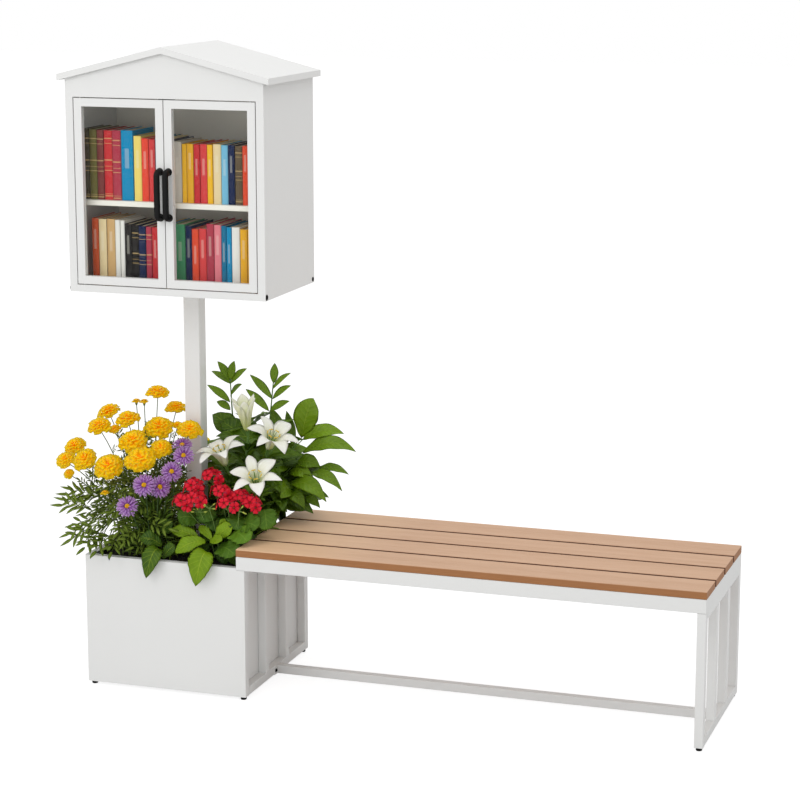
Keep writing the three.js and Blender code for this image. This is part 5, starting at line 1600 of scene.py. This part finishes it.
class BENCH_OT_marigolds(bpy.types.Operator):
    """Grows the marigolds: ruffled yellow heads on thin stems over feathery leaves"""

    bl_idname = "bench.marigolds"
    bl_label = "Marigolds"

    def execute(self, context):
        settings, chance = planting(0)
        radius, root = settings.marigold_radius, planted(marigold_root)
        # The marigold petals glow a little (light=0.12): painted light that brightens them
        yellow = petal_finish(
            "marigold_petals", paint(252, 146, 0), settings.marigold_colour, paint(255, 204, 16), 5.0, 0.1,
            relief=0.0001, glow=1.0, light=0.12,
        )
        heads = ruffled_heads(settings, yellow)
        flowers, lines, cups, sprigs = [], [], [], []
        for index, (shares, size) in enumerate(marigold_heads):
            place = planted(shares)
            out = Vector((place.x - root.x, place.y - root.y, 0)) / 0.25
            tilt = 0.18 + 2.0 * max(0.0, 0.86 - shares[2])
            way = Vector((out.x * 0.3 + 0.12 * tilt, out.y * 0.12 - tilt, 1.0)).normalized()
            size *= chance.uniform(0.97, 1.03)
            flower = (place, face_turn(way, chance.uniform(0, math.tau)), size, chance.random())
            flowers.append(set_out(heads[index % 3], [flower], yellow))
            foot = place - way * radius * size * 0.42
            cups.append([foot, place - way * radius * 0.02])
            line = rooted(root, place, foot, 0.35, 0.62, 0.2)
            lines.append(line)
            for joint in (line[4], line[5], line[6]):
                turn = face_on(any_way(chance, (-0.9, 0.2), (0.2, 0.9)), near_side)
                sprigs.append((joint, turn, chance.uniform(0.35, 0.6), chance.uniform(0.2, 0.9)))
        buds = []
        for place in map(planted, marigold_buds):
            lines.append(rooted(root, place, place - upwards * 0.008, 0.5, 0.6, 0.4))
            cups.append([place - upwards * 0.012, place + upwards * 0.004])
            buds.append((place, face_turn((0, -0.1, 1)), 0.34, 0.5))
        flowers.append(set_out(heads[0], buds, yellow))
        plant_piece("marigold_flowers", merged(flowers))
        green = stem_finish("marigold_stems", paint(104, 128, 62), paint(52, 78, 34))
        stems = [tubes(lines, 0.0022, 0.0013, 5, green), tubes(cups, 0.0022, radius * 0.2, 8, green)]
        plant_piece("marigold_stems", merged(stems))
        self.foliage(settings, chance, root, sprigs)
        return {"FINISHED"}

    def foliage(self, settings, chance, root, places):
        """The feathery leaves: those on the stems, a low canopy, and fronds that hang over the rim."""
        shades = paint(134, 156, 50), paint(54, 80, 12), paint(164, 182, 84)
        leafy = leaf_finish("marigold_leaves", *shades, 1.0, 0.5, 0.0002)
        reach = reach_of(marigold_reach)
        for share in (1.0, 0.8, 0.6):
            total = int(settings.marigold_sprays * share)
            for base, tip, way in canopy(chance, total, root, reach * share, 0.1):
                aim = tip - base + way * 0.03
                # Painted shade: the inner layers of the canopy get darker shades (share squared), deeper in
                # the plant
                place = (base, face_on(aim, way), chance.uniform(0.75, 1.2), chance.random() * share**2)
                if not through_wall(base, aim.normalized()):
                    places.append(place)
        for base, tip in marigold_sprays:
            low, high = planted(base), planted(tip)
            aim = high - low
            places.append((high - aim.normalized() * 0.1, face_on(aim, near_side), 1.25, 0.9))
            places.append((low.lerp(high, 0.35), face_on(aim + upwards * 0.03, near_side), 1.1, 0.7))
        spray = spray_pattern(0.085, 3, 0.034, 0.0082, leafy)
        plant_piece("marigold_leaves", set_out(spray, places, leafy), ["marigolds"])


def rayed_flower(settings, purple):
    """An aster's two rows of narrow rays, as a shape to set out."""
    radius = settings.aster_radius
    blade = Blade([(0, 0.4), (0.4, 0.85), (0.8, 1.0), (1, 0.4)], 5, 2, 0.12, fold=-0.12)
    ray = single_pattern(blade, radius * 0.78, radius * 0.17, radius * 0.08, -radius * 0.02, purple)
    rays = whorled(
        ray, purple, petals=settings.aster_rays, seed=3, inner_radius=radius * 0.1, outer_radius=radius * 0.2,
        crown_height=radius * 0.1, inner_pitch=0.95, outer_pitch=-0.05, inner_size=0.62, unevenness=0.08,
    )
    return pattern(rays)


def yellow_disc(settings, gold):
    """The tight middle of an aster, as a shape to set out."""
    radius = settings.aster_radius
    floret = pattern(turned([(0, 0), (0.0011, 0.0006), (0.0009, 0.0022), (0, 0.0028)], 6, gold))
    disc = whorled(
        floret, gold, petals=64, seed=5, outer_radius=radius * 0.17, crown_height=radius * 0.1,
        inner_pitch=0.0, outer_pitch=-0.5, inner_size=1.0, outer_size=1.1, unevenness=0.12,
    )
    return pattern(disc)


class BENCH_OT_asters(bpy.types.Operator):
    """Grows the purple asters: two rows of narrow rays round a yellow disc"""

    bl_idname = "bench.asters"
    bl_label = "Asters"

    def execute(self, context):
        settings, chance = planting(1)
        radius, root = settings.aster_radius, planted(aster_root)
        purple = petal_finish(
            "aster_rays", paint(118, 52, 150), settings.aster_colour, paint(206, 164, 226), 5.0, 0.25
        )
        shades = paint(248, 178, 24), paint(255, 212, 48), paint(255, 230, 104)
        gold = petal_finish("aster_discs", *shades, 3.0, 0.2)
        flowers, discs, lines, cups = [], [], [], []
        for shares, way in aster_heads:
            place, way = planted(shares), Vector(way).normalized()
            flowers.append(flower_place(chance, place, way, 0.95, 1.05))
            discs.append((place + way * radius * 0.08, face_turn(way), 1.0, 0.5))
            foot = place - way * radius * 0.3
            cups.append([foot, place - way * radius * 0.02])
            lines.append(rooted(root, place, foot, 0.4, 0.7, 0.3))
        plant_piece("aster_flowers", set_out(rayed_flower(settings, purple), flowers, purple))
        plant_piece("aster_discs", set_out(yellow_disc(settings, gold), discs, gold))
        green = stem_finish("aster_stems", paint(96, 124, 62), paint(50, 78, 38))
        stems = [tubes(lines, 0.0022, 0.0014, 5, green), tubes(cups, 0.002, radius * 0.17, 8, green)]
        plant_piece("aster_stems", merged(stems))
        shades = paint(112, 142, 46), paint(44, 72, 12), paint(140, 166, 76)
        leafy = leaf_finish("aster_leaves", *shades, 4.0, 0.5, 0.0002)
        blade = Blade([(0, 0.2), (0.3, 0.85), (0.6, 1.0), (1, 0.1)], 6, 2, 0.08, fold=0.2)
        leaf = single_pattern(blade, 0.066, 0.011, 0.066 * 0.16, 0, leafy, 0.5)
        places = []
        for _, way in dome(chance, settings.aster_leaves):
            tip = root + way * reach_of(aster_reach) * chance.uniform(0.78, 1.04)
            for share in (1.0, 0.7):
                size = chance.uniform(0.7, 1.2)
                aim = Vector((way.x, way.y - 0.1, way.z * 0.7 + chance.uniform(-0.2, 0.5))).normalized()
                turn = leaf_turn(aim, chance.uniform(-0.8, 0.8))
                # Painted shade: the leaves nearer the root get darker shades
                places.append((root.lerp(tip, share) - aim * 0.06, turn, size, chance.random() * share))
        plant_piece("aster_leaves", set_out(leaf, places, leafy), ["asters"])
        return {"FINISHED"}


def red_floret(settings, red):
    """A five-petalled geranium floret, as a shape to set out."""
    outline = [(0, 0.2), (0.35, 0.7), (0.75, 1.05), (1, 0.7)]
    blade = Blade(outline, 5, 4, 0.05, cup=-0.2, frill=(0.12, 0.8), notch=0.05)
    size = settings.floret_radius
    petal = single_pattern(blade, size, size * 0.96, size * 0.16, size * 0.04, red)
    floret = whorled(
        petal, red, petals=5, seed=2, turn_step=math.tau / 5, inner_radius=0.0005, outer_radius=0.0008,
        crown_height=0.0, inner_pitch=0.12, outer_pitch=0.12, inner_size=1.0, unevenness=0.06,
    )
    return pattern(floret)


class BENCH_OT_geraniums(bpy.types.Operator):
    """Grows the red geraniums: round clusters of five-petalled florets over scalloped leaves"""

    bl_idname = "bench.geraniums"
    bl_label = "Geraniums"

    def execute(self, context):
        settings, chance = planting(2)
        root, cluster = planted(geranium_root), settings.cluster_radius
        red = petal_finish(
            "geranium_petals", paint(146, 2, 16), settings.geranium_colour, paint(236, 34, 50), 6.0, 0.2
        )
        florets, lines = [], []
        for centre in map(planted, geranium_heads):
            hub = centre - Vector((0, 0, cluster * 0.5))
            lines.append(rooted(root, centre, hub, 0.4, 0.6, 0.3))
            for index in range(settings.cluster_florets):
                up = 1 - 1.25 * (index + 0.5) / settings.cluster_florets
                angle = index * golden_angle + chance.uniform(-0.2, 0.2)
                flat = math.sqrt(max(0.0, 1 - up * up))
                way = Vector((flat * math.cos(angle), flat * math.sin(angle) - 0.25, up + 0.15)).normalized()
                out = 0.74 + 0.22 * (index % 3)
                place = centre + Vector((way.x, way.y, way.z * 0.8)) * cluster * out
                florets.append(flower_place(chance, place, way, 0.88, 1.1))
                lines.append(bend_line(hub, place - way * 0.001, 0.5, 0.5, 3))
        plant_piece("geranium_flowers", set_out(red_floret(settings, red), florets, red))
        buds = []
        for hub in map(planted, geranium_buds):
            lines.append(rooted(root, hub, hub, 0.6, 0.6, 0.3))
            for _ in range(settings.cluster_florets):
                way = any_way(chance, (-1, 0.5), (-0.3, 1))
                end = hub + way * cluster * chance.uniform(0.3, 0.6)
                lines.append(bend_line(hub, end, 0.5, 0.5, 3))
                buds.append((end, face_turn(way), chance.uniform(0.8, 1.2), 0.5))
        pale = stem_finish("buds", paint(206, 214, 96), paint(140, 168, 54))
        shape = [(0, 0), (0.0013, 0.001), (0.0024, 0.005), (0.0016, 0.0095), (0, 0.0115)]
        plant_piece("geranium_buds", set_out(pattern(turned(shape, 7, pale)), buds, pale))
        green = stem_finish("geranium_stems", paint(122, 152, 70), paint(70, 104, 44))
        plant_piece("geranium_stems", tubes(lines, 0.002, 0.0012, 5, green))
        self.foliage(settings, chance, root)
        return {"FINISHED"}

    def foliage(self, settings, chance, root):
        """The round scalloped leaves: those that show in front, and a canopy under the flowers."""
        shades = paint(98, 138, 26), paint(34, 68, 8), paint(134, 168, 62)
        leafy = leaf_finish("geranium_leaves", *shades, 5.0, 0.5, 0.0006, 0.05)
        outline = [(0, 0.4), (0.12, 0.9), (0.4, 1.15), (0.7, 1.1), (0.9, 0.8), (1, 0.4)]
        blade = Blade(outline, 22, 8, 0.02, cup=0.2, frill=(0.14, 2.6), teeth=(0.16, 5.5))
        growth = Growth()
        width, reach = settings.geranium_leaf_width, reach_of(geranium_reach)
        for base, tip, pale in geranium_leaves:
            lay_leaf(growth, blade, planted(base), planted(tip), width, 0.02, pale, near_side)
        for share in (1.0, 0.7):
            total = int(settings.geranium_leaves * share)
            for base, tip, way in canopy(chance, total, root, reach * share, width):
                size = (tip - base).length
                # Painted shade: the canopy's leaves are darker overall, and darker still in its inner layers
                lay_leaf(growth, blade, base, tip, size, size * 0.1, chance.random() * 0.5 * share**2, way)
        plant_piece("geranium_leaves", growth.mesh(leafy), ["geraniums"])


class Trumpets:
    """Gathers the lilies: the petals of open and young flowers, and the stamens of open ones."""

    def __init__(self, settings, chance):
        self.chance, self.throat = chance, settings.lily_throat
        self.size, self.width = settings.lily_petal_length, settings.lily_petal_width
        self.opened, self.young = Growth(), Growth()
        self.filaments, self.anthers = [], []
        broad = [(0, 0.2), (0.25, 0.62), (0.55, 1.0), (0.8, 0.8), (1, 0.06)]
        narrow = [(0, 0.2), (0.25, 0.5), (0.55, 0.74), (0.8, 0.58), (1, 0.06)]
        self.blades = [
            Blade(broad, 14, 6, 0.035, cup=0.35, frill=(0.08, 1.5)),
            Blade(narrow, 14, 6, 0.035, cup=0.3, frill=(0.06, 1.5)),
        ]

    def flower(self, place, way, is_open):
        """Six petals, broad and narrow by turns, and the stamens in an open flower."""
        turn = Euler(face_turn(way, self.chance.uniform(0, 1))).to_matrix()
        bend, rise, end_out, end_up = (0.2, 0.95, 0.9, 0.6) if is_open else (0.16, 0.74, 0.42, 1.12)
        growth, width = (self.opened, self.width) if is_open else (self.young, self.width * 0.9)
        for index in range(6):
            angle = index * math.tau / 6 + self.chance.uniform(-0.06, 0.06)
            out = Vector((math.cos(angle), math.sin(angle), 0))
            across = turn @ Vector((-math.sin(angle), math.cos(angle), 0))
            start = out * self.throat * (1.0 if index % 2 else 0.8)
            uneven = self.chance.uniform(0.94, 1.06)
            middle = (out * bend + upwards * rise) * self.size * uneven
            end = (out * end_out + upwards * end_up) * self.size * uneven
            blade = self.blades[index % 2]
            points = [place + turn @ point for point in (start, middle, end)]
            growth.add(blade, blade.laid(*points, width, across=across), self.chance.random())
            if is_open:
                lean = out * self.size * 0.2 + Vector((0, 0, self.size * 0.68))
                line = bend_line(place + turn @ (out * 0.002), place + turn @ lean, 0.5, 0.3, 5)
                self.filaments.append(line)
                self.anthers.append([line[-1] - across * 0.006, line[-1] + across * 0.006])
        if is_open:
            self.filaments.append([place, place + way * self.size * 0.8])


class BENCH_OT_lilies(bpy.types.Operator):
    """Grows the white lilies: six curved petals, stamens and narrow leaves up the stems"""

    bl_idname = "bench.lilies"
    bl_label = "Lilies"

    def execute(self, context):
        settings, chance = planting(3)
        root, throat = planted(lily_root), settings.lily_throat
        trumpets = Trumpets(settings, chance)
        lines, cups = [], []
        for shares, way, opened in lily_flowers:
            place, way = planted(shares), Vector(way).normalized()
            trumpets.flower(place, way, opened > 0.5)
            foot = place - way * throat * 2.2
            lines.append(rooted(root, place, foot, 0.5, 0.75, 0.2, 10))
            cups.append([foot, foot + (place - foot) * 1.3])
        shades = paint(188, 200, 104), paint(240, 240, 224), paint(250, 250, 246)
        white = petal_finish("lily_petals", *shades, 7.0, 0.12, 0.5, 0.0004)
        shades = paint(186, 200, 96), paint(236, 238, 190), paint(250, 250, 240)
        young = petal_finish("young_lily_petals", *shades, 7.0, 0.25, 0.5, 0.0004)
        pollen = stem_finish("lily_stamens", paint(232, 206, 84), paint(198, 158, 40))
        green = stem_finish("lily_stems", paint(116, 150, 66), paint(64, 104, 40))
        plant_piece("lily_flowers", trumpets.opened.mesh(white))
        plant_piece("young_lily", trumpets.young.mesh(young))
        filaments = tubes(trumpets.filaments, 0.0012, 0.0008, 5, green)
        anthers = tubes(trumpets.anthers, 0.0019, 0.0016, 6, pollen)
        plant_piece("lily_stamens", merged([filaments, anthers]))
        stems = [tubes(lines, 0.005, 0.0035, 8, green), tubes(cups, 0.0035, throat * 0.9, 10, green)]
        plant_piece("lily_stems", merged(stems))
        self.foliage(settings, chance, lines)
        return {"FINISHED"}

    def foliage(self, settings, chance, lines):
        """Narrow leaves up each stem, shorter towards the flower."""
        shades = paint(98, 134, 22), paint(34, 66, 6), paint(138, 168, 56)
        leafy = leaf_finish("lily_leaves", *shades, 1.0, 0.4, 0.0003)
        blade = Blade([(0, 0.4), (0.25, 0.9), (0.5, 1.0), (0.8, 0.62), (1, 0.05)], 8, 4, 0.05, fold=0.22)
        growth = Growth()
        for line in lines:
            for index in range(settings.lily_leaves):
                share = 0.12 + 0.76 * index / settings.lily_leaves
                step = share * (len(line) - 1)
                spot = line[int(step)].lerp(line[int(step) + 1], step % 1)
                angle = index * golden_angle + chance.uniform(-0.3, 0.3)
                long = chance.uniform(0.075, 0.12) * (1.1 - share * 0.5)
                aim = Vector((math.cos(angle), math.sin(angle), 0.55 + chance.uniform(-0.2, 0.3)))
                tip = spot + aim.normalized() * long
                if not over_seat(spot, tip):
                    lay_leaf(growth, blade, spot, tip, 0.02, long * 0.22, chance.random())
        plant_piece("lily_leaves", growth.mesh(leafy), ["lilies"])


class BENCH_OT_shrub(bpy.types.Operator):
    """Grows the broad-leaved shrub and its two tall shoots"""

    bl_idname = "bench.shrub"
    bl_label = "Shrub"

    def execute(self, context):
        settings, chance = planting(4)
        root, reach, width = planted(shrub_root), reach_of(shrub_reach), settings.shrub_leaf_width
        deep, vein = paint(38, 70, 2), paint(156, 182, 62)
        leafy = leaf_finish("shrub_leaves", settings.shrub_colour, deep, vein, 8.0, 0.34, 0.0012, 0.05)
        outline = [(0, 0.12), (0.12, 0.5), (0.4, 1.0), (0.62, 0.86), (0.84, 0.42), (0.94, 0.16), (1, 0.02)]
        broad = Blade(outline, 16, 8, 0.02, fold=0.22, frill=(0.1, 3.0))
        lance = Blade([(0, 0.15), (0.25, 0.8), (0.5, 1.0), (0.8, 0.55), (1, 0.04)], 10, 4, 0.04, fold=0.3)
        growth = Growth()
        for base, tip, lift, wide, pale in shrub_leaves:
            arch = settings.bloom_height * lift * 0.8
            lay_leaf(growth, broad, planted(base), planted(tip), width * wide, arch, pale, near_side)
        for share in (1.0, 0.78, 0.55):
            total = int(settings.shrub_leaves * share)
            for base, tip, way in canopy(chance, total, root, reach * share, width * 2.3):
                long = (tip - base).length
                # Painted shade: the inner layers of the canopy get darker shades (share squared)
                pale = chance.random() * 0.8 * share**2
                lay_leaf(growth, broad, base, tip, long * 0.44, long * 0.12, pale, way)
        plant_piece("shrub_leaves", growth.mesh(leafy), ["shrub"])
        growth = Growth()
        for base, tip in shoot_leaves:
            face = near_side + Vector((chance.uniform(-0.5, 0.5), 0, chance.uniform(-0.2, 0.4)))
            pale = chance.uniform(0.5, 1.0)
            lay_leaf(growth, lance, planted(base), planted(tip), settings.shoot_leaf_width, 0.008, pale, face)
        plant_piece("shoot_leaves", growth.mesh(leafy))
        green = stem_finish("shrub_stems", paint(110, 146, 62), paint(62, 98, 36))
        lines = [bend_line(planted(low), planted(high), 0.5, 0.5) for low, high in shoots]
        lines += [bend_line(root, planted(leaf[0]), 0.7, 0.4) for leaf in shrub_leaves]
        plant_piece("shrub_stems", tubes(lines, 0.004, 0.0016, 6, green))
        return {"FINISHED"}


class BENCH_OT_rosette(bpy.types.Operator):
    """Grows the light-green rosette at the front, with leaves that hang over the rim"""

    bl_idname = "bench.rosette"
    bl_label = "Rosette"

    def execute(self, context):
        settings = context.scene.bench_planting
        deep, vein = paint(34, 68, 4), paint(178, 200, 60)
        leafy = leaf_finish("rosette_leaves", settings.rosette_colour, deep, vein, 9.0, 0.42, 0.0012, 0.06)
        outline = [(0, 0.2), (0.15, 0.45), (0.45, 0.95), (0.65, 1.0), (0.88, 0.55), (1, 0.05)]
        blade = Blade(outline, 18, 8, 0.02, fold=0.16, frill=(0.14, 2.5), teeth=(0.05, 9.0))
        growth = Growth()
        for base, tip, lift, share, pale in rosette_leaves:
            wide, arch = settings.rosette_leaf_width * share, settings.bloom_height * lift
            lay_leaf(growth, blade, planted(base), planted(tip), wide, arch, pale, near_side)
        plant_piece("rosette_leaves", growth.mesh(leafy), ["rosette"])
        return {"FINISHED"}


# panel and order of work


class BENCH_PT_panel(bpy.types.Panel):
    """Lists the bench's pieces and settings"""

    bl_idname = "BENCH_PT_panel"
    bl_label = "Bench"
    bl_space_type = "VIEW_3D"
    bl_region_type = "UI"
    bl_category = "Bench"

    def draw(self, context):
        for made in operators:
            self.layout.operator(made.bl_idname)
        for name, group in settings_groups.items():
            box = self.layout.box()
            box.label(text=group.__doc__)
            for title in group.__annotations__:
                box.prop(getattr(context.scene, name), title)


settings_groups = {
    "bench_stage": StageSettings,
    "bench_steel": SteelSettings,
    "bench_slats": SlatSettings,
    "bench_books": BookSettings,
    "bench_planting": PlantingSettings,
}
operators = [
    BENCH_OT_stage, BENCH_OT_steel, BENCH_OT_slats, BENCH_OT_glass, BENCH_OT_handles, BENCH_OT_feet,
    BENCH_OT_screws, BENCH_OT_books, BENCH_OT_soil, BENCH_OT_marigolds, BENCH_OT_asters, BENCH_OT_geraniums,
    BENCH_OT_lilies, BENCH_OT_shrub, BENCH_OT_rosette,
]
classes = [*settings_groups.values(), *operators, BENCH_PT_panel]


def register():
    for made in classes:
        bpy.utils.register_class(made)
    for name, group in settings_groups.items():
        setattr(bpy.types.Scene, name, PointerProperty(type=group))


def unregister():
    for name in settings_groups:
        delattr(bpy.types.Scene, name)
    for made in reversed(classes):
        bpy.utils.unregister_class(made)


def main():
    register()
    bpy.ops.bench.stage()
    bpy.ops.bench.steel()
    bpy.ops.bench.slats()
    bpy.ops.bench.glass()
    bpy.ops.bench.handles()
    bpy.ops.bench.feet()
    bpy.ops.bench.screws()
    bpy.ops.bench.books()
    bpy.ops.bench.soil()
    bpy.ops.bench.marigolds()
    bpy.ops.bench.asters()
    bpy.ops.bench.geraniums()
    bpy.ops.bench.lilies()
    bpy.ops.bench.shrub()
    bpy.ops.bench.rosette()
    boxes = {"cad_box": cad_box, "visual_box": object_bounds()}
    {name: [list(point) for point in box] for name, box in boxes.items()}


if __name__ == "__main__":
    main()
